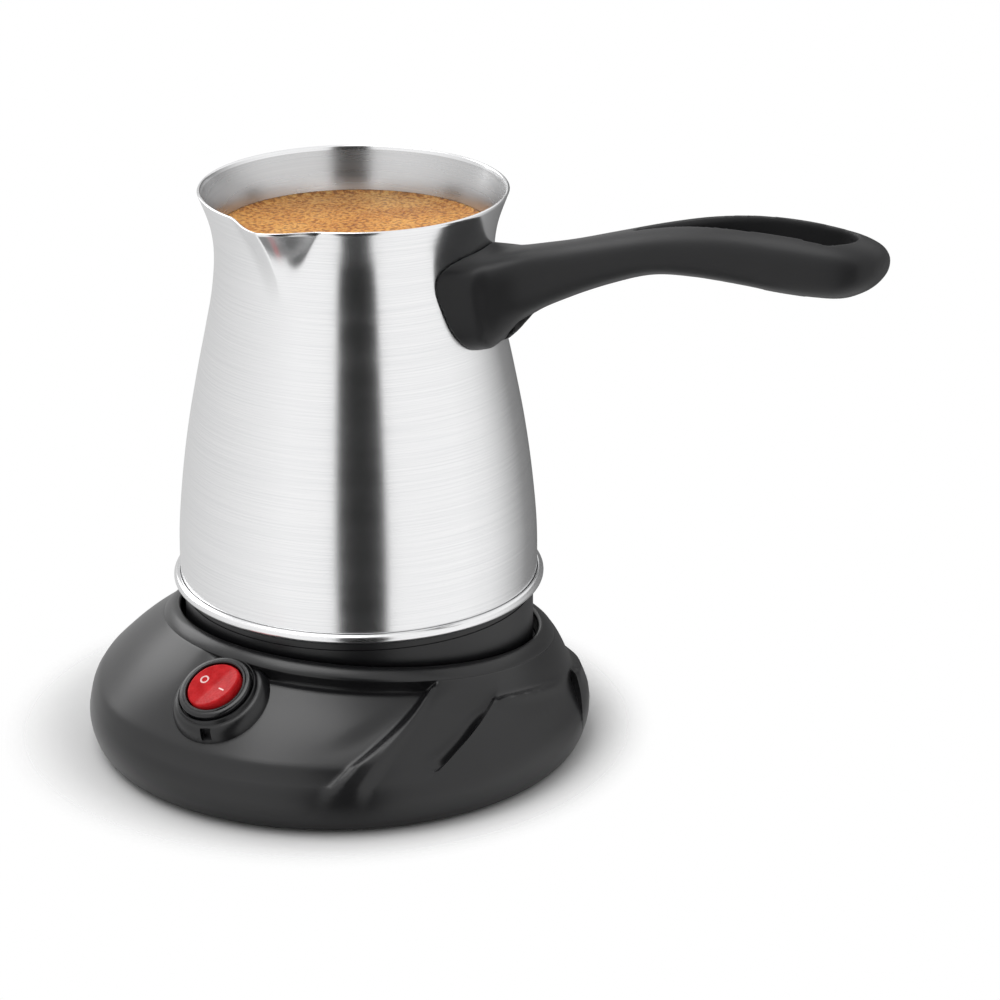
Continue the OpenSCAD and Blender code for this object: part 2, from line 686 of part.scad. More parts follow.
module switch_rocker() color(red) at_switch() translate([0, 0, -pivot_drop])
    rotate([0, rocker_rest, 0]) {
        difference() {
            rocker_shape();
            rotate([90, 0, 0]) translate([0, 0, -10]) cylinder(d = 1.6, h = 20, $fn = small_round);
        }
        // pusher that tips the contact blade
        translate([0, 0, -9.2]) cylinder(d = 1.8, h = 7.4, $fn = small_round);
    }

block = [11, 7.5];                 // the switch's lower block
block_from = -8.1;
block_to = -14.5;
terminal_x = [-3.6, 0, 3.6];
blade_z = block_to + 2.9;
blade_rest = 4;
module blade_axle(d, l) rotate([90, 0, 0]) cylinder(d = d, h = l, center = true, $fn = small_round);

module switch_body() color(soft_black) at_switch() difference() {
    translate([-block[0] / 2, -block[1] / 2, block_to]) cube([block[0], block[1], block_from - block_to]);
    translate([0, 0, blade_z]) blade_axle(0.9, 6.8);
    translate([-4.7, -2.5, block_to + 1.4]) cube([9.4, 5, 10]);
    for (x = terminal_x) translate([x - 0.45, -1.6, block_to - 1]) cube([0.9, 3.2, 4]);
}

module switch_lamp() color("#ffb066") at_switch()
    translate([-2.5, 4.5, -5.8]) rotate([0, 90, 0]) cylinder(d = 1.4, h = 5, $fn = small_round);

module switch_terminals() color(brass) at_switch()
    for (x = terminal_x)
        translate([x - 0.4, -1.5, block_to - 4.5]) cube([0.8, 3, x == 0 ? 6.9 : 6.2]);

module contact_blade() color(brass) at_switch() translate([0, 0, blade_z]) rotate([0, blade_rest, 0]) {
    translate([-4.3, -1.6, 0]) cube([8.6, 3.2, 0.4]);
    blade_axle(0.8, 6.6);
}

// ---- cord inlet ----------------------------------------------------------------------------

gland_l = 12;
gland_d = 9.6;
collar_d = 12.4;
module cord_gland() color(soft_black) at_cord() difference() {
    union() {
        translate([0, 0, -gland_l + 2]) cylinder(d = gland_d, h = gland_l - 2, $fn = smooth);
        translate([0, 0, -2]) cylinder(d1 = collar_d, d2 = collar_d - 1.8, h = 4, $fn = smooth);
    }
    translate([0, 0, -gland_l]) cylinder(d = cord_hole_d, h = 2 * gland_l, $fn = smooth);
}

// Saddle that holds the cord down on the base plate.
clamp_x = 36;
clamp_l = 7;
clamp_top = foot_h + 5.25;
module at_clamp_screws() {
    rotate(panel_dir + 180)
        for (y = [-6.5, 6.5]) translate([clamp_x + clamp_l / 2, y, 0]) children();
}
module cord_clamp() color(cream) difference() {
    rotate(panel_dir + 180) translate([clamp_x, -9, foot_h + 2.05])
        cube([clamp_l, 18, clamp_top - foot_h - 2.05]);
    rotate(panel_dir + 180) translate([clamp_x - 1, 0, cord_z]) rotate([0, 90, 0])
        cylinder(d = cord_hole_d, h = clamp_l + 2, $fn = smooth);
    at_clamp_screws() disc(2.6, 0, 12, small_round);
}

module clamp_screws() color(dark_steel)
    at_clamp_screws() translate([0, 0, clamp_top]) rotate([180, 0, 0]) screw(2.5, 4, 4.4, 1.4);

module base_leads() color("#5b8fc8") {
    from = panel_dir + 180;
    wire([polar(35, from - 2.5, cord_z - 2), polar(30, from - 6, 6.2),
          polar(26, panel_dir + 150, 5.6), polar(28, panel_dir + 110, 5.2),
          polar(34, panel_dir + 70, 5.4), polar(42, panel_dir + 35, 7),
          polar(50, panel_dir + 12, 10)], 1.8);
    wire([polar(35, from + 2.5, cord_z - 2), polar(30, from + 8, 6.2),
          polar(26, panel_dir + 205, 5.6), polar(25, panel_dir + 235, 5.4),
          polar(23.4, panel_dir + 260, 5.6)], 1.8);
}

// ---- node selection ------------------------------------------------------------------------

pot_body();
heater_plate();
floor_seal();
heat_spreader();
heating_element();
element_insulators();
dry_boil_thermostat();
thermostat_clip();
skirt_posts();
pot_skirt();
skirt_screws();
skirt_cover();
cover_screws();
pot_connector();
pot_leads();
handle_bracket();
handle();
handle_screws();
handle_nuts();
contact_pin();
inner_ring();
outer_ring();
base_housing();
base_plate();
plate_screws();
rubber_feet();
base_connector();
pin_socket();
inner_contact();
outer_contact();
connector_cover();
connector_screws();
switch_bezel();
switch_body();
switch_lamp();
switch_terminals();
switch_rocker();
contact_blade();
cord_gland();
cord_clamp();
clamp_screws();
base_leads();
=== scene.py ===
"""Electric Turkish coffee maker: the looks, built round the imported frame.

Everything is in metres in the frame's own axes: +Z up, +X along the handle, the origin on the table
under the pot's turning axis.
"""

from __future__ import annotations

import json
import logging
import math
import sys
from collections.abc import Callable, Sequence
from dataclasses import dataclass
from enum import Enum

import bmesh
import bpy
from mathutils import Matrix, Vector, noise

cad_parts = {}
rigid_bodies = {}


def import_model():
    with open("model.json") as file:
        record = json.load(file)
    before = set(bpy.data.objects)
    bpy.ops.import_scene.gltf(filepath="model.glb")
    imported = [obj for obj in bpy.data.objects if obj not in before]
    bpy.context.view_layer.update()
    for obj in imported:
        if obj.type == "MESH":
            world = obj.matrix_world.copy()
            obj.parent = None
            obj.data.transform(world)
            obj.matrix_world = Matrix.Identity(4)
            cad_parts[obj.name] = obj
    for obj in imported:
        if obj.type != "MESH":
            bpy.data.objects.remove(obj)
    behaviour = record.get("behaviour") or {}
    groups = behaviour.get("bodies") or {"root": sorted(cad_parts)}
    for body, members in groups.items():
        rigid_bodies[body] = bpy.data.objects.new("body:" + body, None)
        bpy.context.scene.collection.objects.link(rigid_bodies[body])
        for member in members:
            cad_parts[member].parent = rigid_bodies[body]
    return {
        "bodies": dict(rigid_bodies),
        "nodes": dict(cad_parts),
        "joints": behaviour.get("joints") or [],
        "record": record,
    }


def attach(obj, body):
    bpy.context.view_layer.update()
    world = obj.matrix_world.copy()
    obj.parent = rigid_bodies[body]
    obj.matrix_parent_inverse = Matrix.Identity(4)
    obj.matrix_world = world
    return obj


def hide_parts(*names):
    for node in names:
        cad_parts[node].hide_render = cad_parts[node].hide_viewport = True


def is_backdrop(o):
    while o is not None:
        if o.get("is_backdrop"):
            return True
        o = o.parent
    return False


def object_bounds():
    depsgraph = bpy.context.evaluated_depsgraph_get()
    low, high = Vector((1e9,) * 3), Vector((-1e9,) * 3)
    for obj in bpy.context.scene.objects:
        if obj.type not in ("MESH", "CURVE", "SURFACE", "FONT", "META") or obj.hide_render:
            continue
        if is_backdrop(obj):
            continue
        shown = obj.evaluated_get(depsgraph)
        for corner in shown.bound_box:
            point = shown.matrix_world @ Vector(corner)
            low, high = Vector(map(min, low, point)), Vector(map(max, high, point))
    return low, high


LOG = logging.getLogger("coffee_maker")
MM = 0.001
PANEL_DIR = -96.0  # bearing of the control panel, seen from the pot's axis, in degrees
Point = tuple[float, float]
Knot = tuple[float, ...]
Socket = bpy.types.NodeSocket


# ---- curves ---------------------------------------------------------------------------------


def ramp(x: float, a: float, b: float) -> float:
    """0 below a, 1 above b and smooth in between."""
    u = max(0.0, min(1.0, (x - a) / (b - a)))
    return u * u * (3 - 2 * u)


def wrapped(angle: float) -> float:
    """An angle in degrees, brought into -180..180."""
    return (angle + 180) % 360 - 180


def along(knots: Sequence[Knot], t: float) -> list[float]:
    """Point of a Catmull-Rom spline.

    Args:
        knots: the points that the spline goes through.
        t: place on the spline, counted in knots from 0.

    Returns:
        The interpolated values.
    """
    last = len(knots) - 1
    i = max(0, min(int(math.floor(t)), last - 1))
    u = t - i
    a, b, c, d = (knots[max(0, min(last, i + k))] for k in (-1, 0, 1, 2))
    return [
        0.5 * (2 * q + (r - p) * u + (2 * p - 5 * q + 4 * r - s) * u * u
               + (3 * q - p - 3 * r + s) * u ** 3)
        for p, q, r, s in zip(a, b, c, d)
    ]


def corner_cut(points: Sequence[Knot], rounds: int, closed: bool = False) -> list[Knot]:
    """Rounds the corners of a polyline by cutting each one off a few times.

    Args:
        points: corners, each a tuple of values that are all blended alike.
        rounds: how many times the corners are cut.
        closed: whether the last corner joins the first.

    Returns:
        The rounded polyline. An open one keeps its two ends.
    """
    for _ in range(rounds):
        cut: list[Knot] = [] if closed else [points[0]]
        pairs = zip(points, (*points[1:], points[0]) if closed else points[1:])
        for a, b in pairs:
            cut.append(tuple(0.75 * p + 0.25 * q for p, q in zip(a, b)))
            cut.append(tuple(0.25 * p + 0.75 * q for p, q in zip(a, b)))
        if not closed:
            cut.append(points[-1])
        points = cut
    return list(points)


def arc(centre: Point, radius: float, start: float, end: float, steps: int) -> list[Point]:
    """Points of an arc in the radius-height plane, angles in degrees."""
    turns = [math.radians(start + (end - start) * i / steps) for i in range(steps + 1)]
    return [(centre[0] + radius * math.cos(a), centre[1] + radius * math.sin(a)) for a in turns]


# ---- mesh work ------------------------------------------------------------------------------


class Bench:
    """The modelling calls that the sub-assemblies share."""

    @staticmethod
    def clear() -> None:
        """Leaves edit mode and deselects everything."""
        if bpy.context.object and bpy.context.object.mode != "OBJECT":
            bpy.ops.object.mode_set(mode="OBJECT")
        bpy.ops.object.select_all(action="DESELECT")

    @staticmethod
    def pick(piece: bpy.types.Object) -> None:
        """Makes a piece the only selected and active one."""
        Bench.clear()
        piece.select_set(True)
        bpy.context.view_layer.objects.active = piece

    @staticmethod
    def loft(name: str, rows: int, columns: int, place: Callable[[int, float], Vector],
             closed: bool = True) -> bpy.types.Object:
        """A skin of rings: a circle of points is spun to a grid, and each point is laid in place.

        Args:
            name: name of the new piece.
            rows: number of rings.
            columns: number of points round each ring.
            place: gives the place of a point from its ring's number and its angle in radians.
            closed: whether the last ring joins the first. Otherwise both end rings shrink to
                a pole each, as place gives them.

        Returns:
            The piece, smooth, its faces outwards.
        """
        Bench.clear()
        bpy.ops.mesh.primitive_circle_add(vertices=rows, radius=1.0, fill_type="NOTHING")
        piece = bpy.context.object
        piece.name = piece.data.name = name
        bpy.ops.object.mode_set(mode="EDIT")
        mesh = bmesh.from_edit_mesh(piece.data)
        mesh.verts.ensure_lookup_table()
        for i, vert in enumerate(mesh.verts):
            vert.co = (1.0 + 0.01 * i, 0.0, 0.01 * i)
        bmesh.update_edit_mesh(piece.data)
        if not closed:
            bpy.ops.mesh.select_mode(type="EDGE")
            mesh = bmesh.from_edit_mesh(piece.data)
            for edge in mesh.edges:
                edge.select_set(abs(edge.verts[0].index - edge.verts[1].index) > 1)
            bpy.ops.mesh.delete(type="EDGE")
            bpy.ops.mesh.select_mode(type="VERT")
        bpy.ops.mesh.select_all(action="SELECT")
        bpy.ops.mesh.spin(steps=columns, angle=2 * math.pi, center=(0, 0, 0), axis=(0, 0, 1))
        bpy.ops.mesh.select_all(action="SELECT")
        bpy.ops.mesh.remove_doubles(threshold=1e-5)
        mesh = bmesh.from_edit_mesh(piece.data)
        for vert in mesh.verts:
            angle = math.atan2(vert.co.y, vert.co.x) % (2 * math.pi)
            step = round(angle * columns / (2 * math.pi)) % columns
            vert.co = place(round(vert.co.z * 100), step * 2 * math.pi / columns)
        bmesh.update_edit_mesh(piece.data)
        bpy.ops.mesh.select_all(action="SELECT")
        bpy.ops.mesh.remove_doubles(threshold=2e-7)
        bpy.ops.mesh.normals_make_consistent(inside=False)
        bpy.ops.mesh.faces_shade_smooth()
        bpy.ops.object.mode_set(mode="OBJECT")
        return piece

    @staticmethod
    def lathe(name: str, section: Sequence[Point], columns: int = 192, closed: bool = True,
              frame: Matrix | None = None) -> bpy.types.Object:
        """A turned piece from its section in millimetres: (radius, height) points."""
        frame = frame or Matrix.Identity(4)

        def place(row: int, angle: float) -> Vector:
            """A point of the section, turned by the angle."""
            r, z = section[row]
            return frame @ (Vector((r * math.cos(angle), r * math.sin(angle), z)) * MM)

        return Bench.loft(name, len(section), columns, place, closed)

    @staticmethod
    def modify(piece: bpy.types.Object, kind: str, **settings: object) -> None:
        """Adds a modifier, sets it and applies it."""
        Bench.pick(piece)
        bpy.ops.object.modifier_add(type=kind)
        modifier = piece.modifiers[-1]
        for key, value in settings.items():
            setattr(modifier, key, value)
        bpy.ops.object.modifier_apply(modifier=modifier.name)
        if piece.modifiers:
            raise RuntimeError(f"{kind} could not be applied to {piece.name}")

    @staticmethod
    def cut(piece: bpy.types.Object, *cutters: bpy.types.Object) -> None:
        """Cuts pieces out of another one and removes the cutters."""
        for cutter in cutters:
            Bench.modify(piece, "BOOLEAN", operation="DIFFERENCE", object=cutter,
                         solver="MANIFOLD")
            bpy.data.objects.remove(cutter, do_unlink=True)

    @staticmethod
    def smooth(piece: bpy.types.Object, degrees: float = 35) -> None:
        """Smooth shading that keeps edges sharper than the angle."""
        Bench.pick(piece)
        bpy.ops.object.shade_smooth_by_angle(angle=math.radians(degrees))


# ---- finishes -------------------------------------------------------------------------------


class Tree:
    """Node tree of one finish, with short calls for the nodes that it uses."""

    ENDING = "_finish"

    def __init__(self, name: str) -> None:
        """Starts the tree of a new material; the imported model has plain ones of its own."""
        self.material = bpy.data.materials.new(name + Tree.ENDING)
        self.material.use_nodes = True
        self.nodes = self.material.node_tree.nodes
        self.links = self.material.node_tree.links
        self.shader = self.nodes["Principled BSDF"]
        self.coordinates = self.nodes.new("ShaderNodeTexCoord").outputs
        self.place = self.coordinates["Object"]

    def join(self, source: Socket, target: Socket) -> None:
        """Links two sockets."""
        self.links.new(source, target)

    def scaled(self, x: float, y: float, z: float) -> Socket:
        """Object coordinates, stretched along each axis."""
        node = self.nodes.new("ShaderNodeMapping")
        node.inputs["Scale"].default_value = (x, y, z)
        self.join(self.place, node.inputs["Vector"])
        return node.outputs["Vector"]

    def turned(self, degrees: float) -> Socket:
        """Object coordinates, turned about the vertical."""
        node = self.nodes.new("ShaderNodeMapping")
        node.inputs["Rotation"].default_value = (0.0, 0.0, math.radians(degrees))
        self.join(self.place, node.inputs["Vector"])
        return node.outputs["Vector"]

    def part(self, source: Socket, axis: str) -> Socket:
        """One component of a vector."""
        node = self.nodes.new("ShaderNodeSeparateXYZ")
        self.join(source, node.inputs[0])
        return node.outputs[axis]

    def noise(self, scale: float, detail: float = 4.0, where: Socket | None = None) -> Socket:
        """Noise of a scale in cells per metre."""
        node = self.nodes.new("ShaderNodeTexNoise")
        node.inputs["Scale"].default_value = scale
        node.inputs["Detail"].default_value = detail
        self.join(where or self.place, node.inputs["Vector"])
        return node.outputs["Fac"]

    def cells(self, scale: float, where: Socket | None = None) -> Socket:
        """Distance to the nearest of many scattered points, for bubbles and pores."""
        node = self.nodes.new("ShaderNodeTexVoronoi")
        node.inputs["Scale"].default_value = scale
        self.join(where or self.place, node.inputs["Vector"])
        return node.outputs["Distance"]

    def colours(self, source: Socket, stops: Sequence[tuple[float, Sequence[float]]]) -> Socket:
        """Colours over a value: stops of (place, red-green-blue)."""
        node = self.nodes.new("ShaderNodeValToRGB")
        points = node.color_ramp.elements
        while len(points) < len(stops):
            points.new(0.5)
        for point, (place, colour) in zip(points, stops):
            point.position = place
            point.color = (*colour, 1.0)
        self.join(source, node.inputs["Fac"])
        return node.outputs["Color"]

    def spread(self, source: Socket, low: float = 0.0, high: float = 1.0,
               span: Point = (0.0, 1.0), smooth: bool = False) -> Socket:
        """Brings a value from its span into a range.

        Args:
            source: the value.
            low: where the start of the span ends up.
            high: where the end of the span ends up.
            span: start and end of the values that are brought over.
            smooth: whether the change eases in and out.

        Returns:
            The new value.
        """
        node = self.nodes.new("ShaderNodeMapRange")
        node.interpolation_type = "SMOOTHSTEP" if smooth else "LINEAR"
        for key, value in zip(("From Min", "From Max", "To Min", "To Max"), (*span, low, high)):
            node.inputs[key].default_value = value
        self.join(source, node.inputs["Value"])
        return node.outputs["Result"]

    def mix(self, a: Socket, b: Socket, factor: Socket | None = None) -> Socket:
        """Blend of two colours by a factor, or their product where there is none."""
        node = self.nodes.new("ShaderNodeMix")
        node.data_type, node.blend_type = "RGBA", "MIX" if factor else "MULTIPLY"
        node.inputs[0].default_value = 1.0
        if factor:
            self.join(factor, node.inputs[0])
        self.join(a, node.inputs[6])
        self.join(b, node.inputs[7])
        return node.outputs[2]

    def relief(self, height: Socket, depth: float, strength: float = 1.0) -> None:
        """Adds relief of a depth in metres to the surface."""
        node = self.nodes.new("ShaderNodeBump")
        node.inputs["Distance"].default_value = depth
        node.inputs["Strength"].default_value = strength
        self.join(height, node.inputs["Height"])
        normal = self.shader.inputs["Normal"]
        if normal.is_linked:
            self.join(normal.links[0].from_socket, node.inputs["Normal"])
        self.join(node.outputs["Normal"], normal)

    def set(self, **values: object) -> None:
        """Sets the shader's sockets; underscores in a name stand for spaces."""
        for key, value in values.items():
            self.shader.inputs[key.replace("_", " ")].default_value = value


@dataclass(frozen=True)
class BrushedSteel:
    """Stainless steel brushed round the pot: fine level scratches in a bright ground."""

    name: str = "brushed_steel"
    tone: float = 0.87
    roughness: float = 0.205
    scratch: float = 0.000006

    def make(self) -> bpy.types.Material:
        """Builds the material."""
        tree = Tree(self.name)
        lines = tree.noise(1.0, 6.0, tree.scaled(28, 28, 5200))
        broad = tree.noise(1.0, 3.0, tree.scaled(14, 14, 260))
        t = self.tone
        tree.join(tree.colours(lines, [(0.3, (t * 0.93, t * 0.935, t * 0.945)),
                                       (0.7, (t * 1.04, t * 1.04, t * 1.045))]),
                  tree.shader.inputs["Base Color"])
        tree.join(tree.spread(broad, self.roughness - 0.04, self.roughness + 0.04),
                  tree.shader.inputs["Roughness"])
        tree.set(Metallic=1.0, Anisotropic=0.5, Anisotropic_Rotation=0.25)
        tangent = tree.nodes.new("ShaderNodeTangent")
        tangent.direction_type = "RADIAL"
        tangent.axis = "Z"
        tree.join(tangent.outputs["Tangent"], tree.shader.inputs["Tangent"])
        tree.relief(lines, self.scratch, 0.6)
        return tree.material


@dataclass(frozen=True)
class Moulded:
    """Moulded plastic: a ground colour with faint mottling and a fine grain."""

    name: str
    colour: tuple[float, float, float]
    roughness: float = 0.35
    grain: float = 3200.0
    grain_depth: float = 0.000012
    specular: float = 0.5
    mottle: Point = (0.88, 1.14)

    def make(self) -> bpy.types.Material:
        """Builds the material."""
        tree = Tree(self.name)
        cloud = tree.noise(35.0, 3.0)
        fine = tree.noise(self.grain, 2.0)
        low, high = (tuple(min(1.0, c * m) for c in self.colour) for m in self.mottle)
        tree.join(tree.colours(cloud, [(0.3, low), (0.7, high)]),
                  tree.shader.inputs["Base Color"])
        tree.join(tree.spread(fine, self.roughness - 0.04, self.roughness + 0.05),
                  tree.shader.inputs["Roughness"])
        tree.set(Specular_IOR_Level=self.specular)
        tree.relief(fine, self.grain_depth, 0.5)
        return tree.material


@dataclass(frozen=True)
class Metal:
    """Small metal pieces: drawn, plated or oxidised, with faint streaks."""

    name: str
    colour: tuple[float, float, float]
    roughness: float = 0.32

    def make(self) -> bpy.types.Material:
        """Builds the material."""
        tree = Tree(self.name)
        streaks = tree.noise(1.0, 4.0, tree.scaled(160, 1400, 1400))
        stain = tree.noise(120.0, 4.0)
        tree.join(tree.colours(stain, [(0.3, tuple(c * 0.85 for c in self.colour)),
                                       (0.7, self.colour)]),
                  tree.shader.inputs["Base Color"])
        tree.join(tree.spread(streaks, self.roughness - 0.07, self.roughness + 0.1),
                  tree.shader.inputs["Roughness"])
        tree.set(Metallic=1.0)
        tree.relief(streaks, 0.000008, 0.4)
        return tree.material


@dataclass(frozen=True)
class LitRocker:
    """Clear red plastic of the rocker, lit from below by the lamp."""

    name: str = "rocker_red"
    glow: float = 0.05

    def make(self) -> bpy.types.Material:
        """Builds the material."""
        tree = Tree(self.name)
        depth = tree.noise(420.0, 3.0)
        facets = tree.cells(1500.0)
        tree.join(tree.colours(depth, [(0.3, (0.40, 0.006, 0.009)), (0.72, (0.55, 0.020, 0.024))]),
                  tree.shader.inputs["Base Color"])
        tree.join(tree.spread(facets, 0.22, 0.32), tree.shader.inputs["Roughness"])
        tree.set(Emission_Color=(0.85, 0.03, 0.03, 1.0), Emission_Strength=self.glow,
                 Specular_IOR_Level=0.06)
        tree.relief(facets, 0.00003, 0.35)
        return tree.material


@dataclass(frozen=True)
class CoffeeFoam:
    """Foam on the coffee: pale orange, speckled brown, with small bubbles, browner and then greyed
    by painted shade towards one side.
    """

    name: str = "coffee_foam"
    browned_and_shaded_side: float = 119.0
    shade_span: Point = (-0.012, 0.032)
    bubble: float = 1350.0

    def make(self) -> bpy.types.Material:
        """Builds the material."""
        tree = Tree(self.name)
        patches = tree.noise(90.0, 4.0)
        speckle = tree.noise(860.0, 3.0)
        bubbles = tree.cells(self.bubble)
        ground = tree.colours(patches, [(0.34, (0.50, 0.19, 0.032)), (0.50, (0.72, 0.33, 0.075)),
                                        (0.64, (0.88, 0.50, 0.165))])
        dots = tree.colours(speckle, [(0.40, (0.16, 0.045, 0.006)), (0.47, (0.70, 0.27, 0.045)),
                                      (0.60, (1.0, 0.62, 0.20))])
        foam = tree.mix(ground, dots, tree.spread(bubbles, 0.42, 0.62))
        # Partly real colour, partly painted shade: across the pot the foam turns browner, then
        # darkens to grey.
        across = tree.part(tree.turned(-self.browned_and_shaded_side), "X")
        shade = tree.colours(tree.spread(across, span=self.shade_span),
                             [(0.0, (1.0, 0.96, 0.88)), (0.5, (0.88, 0.78, 0.60)),
                              (1.0, (0.56, 0.56, 0.60))])
        tree.join(tree.mix(foam, shade), tree.shader.inputs["Base Color"])
        tree.set(Roughness=0.5, Specular_IOR_Level=0.35)
        tree.relief(bubbles, 0.0004, 0.8)
        tree.relief(speckle, 0.0003, 0.5)
        return tree.material


@dataclass(frozen=True)
class LampGlass:
    """Glass of the small neon lamp."""

    name: str = "lamp_glass"

    def make(self) -> bpy.types.Material:
        """Builds the material."""
        tree = Tree(self.name)
        haze = tree.noise(900.0, 2.0)
        tree.join(tree.colours(haze, [(0.3, (1.0, 0.62, 0.34)), (0.7, (1.0, 0.78, 0.55))]),
                  tree.shader.inputs["Base Color"])
        tree.set(Roughness=0.08, Transmission_Weight=0.6, Emission_Color=(1.0, 0.35, 0.12, 1.0),
                 Emission_Strength=0.6)
        return tree.material


class Finish(Enum):
    """The finishes of the coffee maker; each value makes its own material."""

    STEEL = BrushedSteel()
    INNER_STEEL = BrushedSteel("inner_steel", 0.62, 0.27)
    SHELL = Moulded("black_plastic", (0.008, 0.008, 0.0088), 0.30)
    SKIRT = Moulded("skirt_plastic", (0.006, 0.006, 0.007), 0.34)
    GRIP = Moulded("handle_plastic", (0.017, 0.017, 0.018), 0.42, 2600.0, 0.000016, 0.28)
    DARK = Moulded("dark_plastic", (0.012, 0.012, 0.013), 0.42)
    BEZEL = Moulded("switch_black", (0.008, 0.008, 0.009), 0.24)
    RUBBER = Moulded("rubber", (0.030, 0.030, 0.031), 0.72, 1500.0, 0.00003, 0.3)
    SILICONE = Moulded("silicone", (0.55, 0.52, 0.47), 0.55, 900.0)
    CERAMIC = Moulded("ceramic", (0.78, 0.74, 0.64), 0.5, 1800.0, 0.00002)
    RED_SLEEVE = Moulded("red_wire", (0.50, 0.05, 0.035), 0.45)
    BLUE_SLEEVE = Moulded("blue_wire", (0.03, 0.11, 0.40), 0.42)
    MARK = Moulded("mark_paint", (0.90, 0.62, 0.60), 0.5)
    BRASS = Metal("brass", (0.74, 0.52, 0.20), 0.26)
    ZINC = Metal("zinc_steel", (0.52, 0.53, 0.55), 0.34)
    ALUMINIUM = Metal("aluminium", (0.78, 0.79, 0.80), 0.38)
    SHEATH = Metal("heater_sheath", (0.20, 0.19, 0.19), 0.5)
    ROCKER = LitRocker()
    FOAM = CoffeeFoam()
    LAMP = LampGlass()

    def material(self) -> bpy.types.Material:
        """The finish's material, made on first use."""
        return bpy.data.materials.get(self.value.name + Tree.ENDING) or self.value.make()


@dataclass
class SubAssembly:
    """A group of pieces that ride on one body of the frame."""

    body: str

    def finish(self, piece: bpy.types.Object, finish: Finish, slot: str = "",
               replaces: Sequence[str] = ()) -> bpy.types.Object:
        """Dresses a piece and hangs it on the body.

        Args:
            piece: the finished mesh.
            finish: what it is made of.
            slot: the record's material slot, if it has one; not used.
            replaces: CAD nodes that the piece stands for.

        Returns:
            The same piece.
        """
        piece.data.materials.clear()
        piece.data.materials.append(finish.material())
        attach(piece, self.body)
        if replaces:
            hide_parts(*replaces)
        LOG.info("%s: %d faces, on %s", piece.name, len(piece.data.polygons), self.body)
        return piece

    def build(self) -> None:
        """Builds every piece of the sub-assembly."""
        raise NotImplementedError


# ---- pot ------------------------------------------------------------------------------------


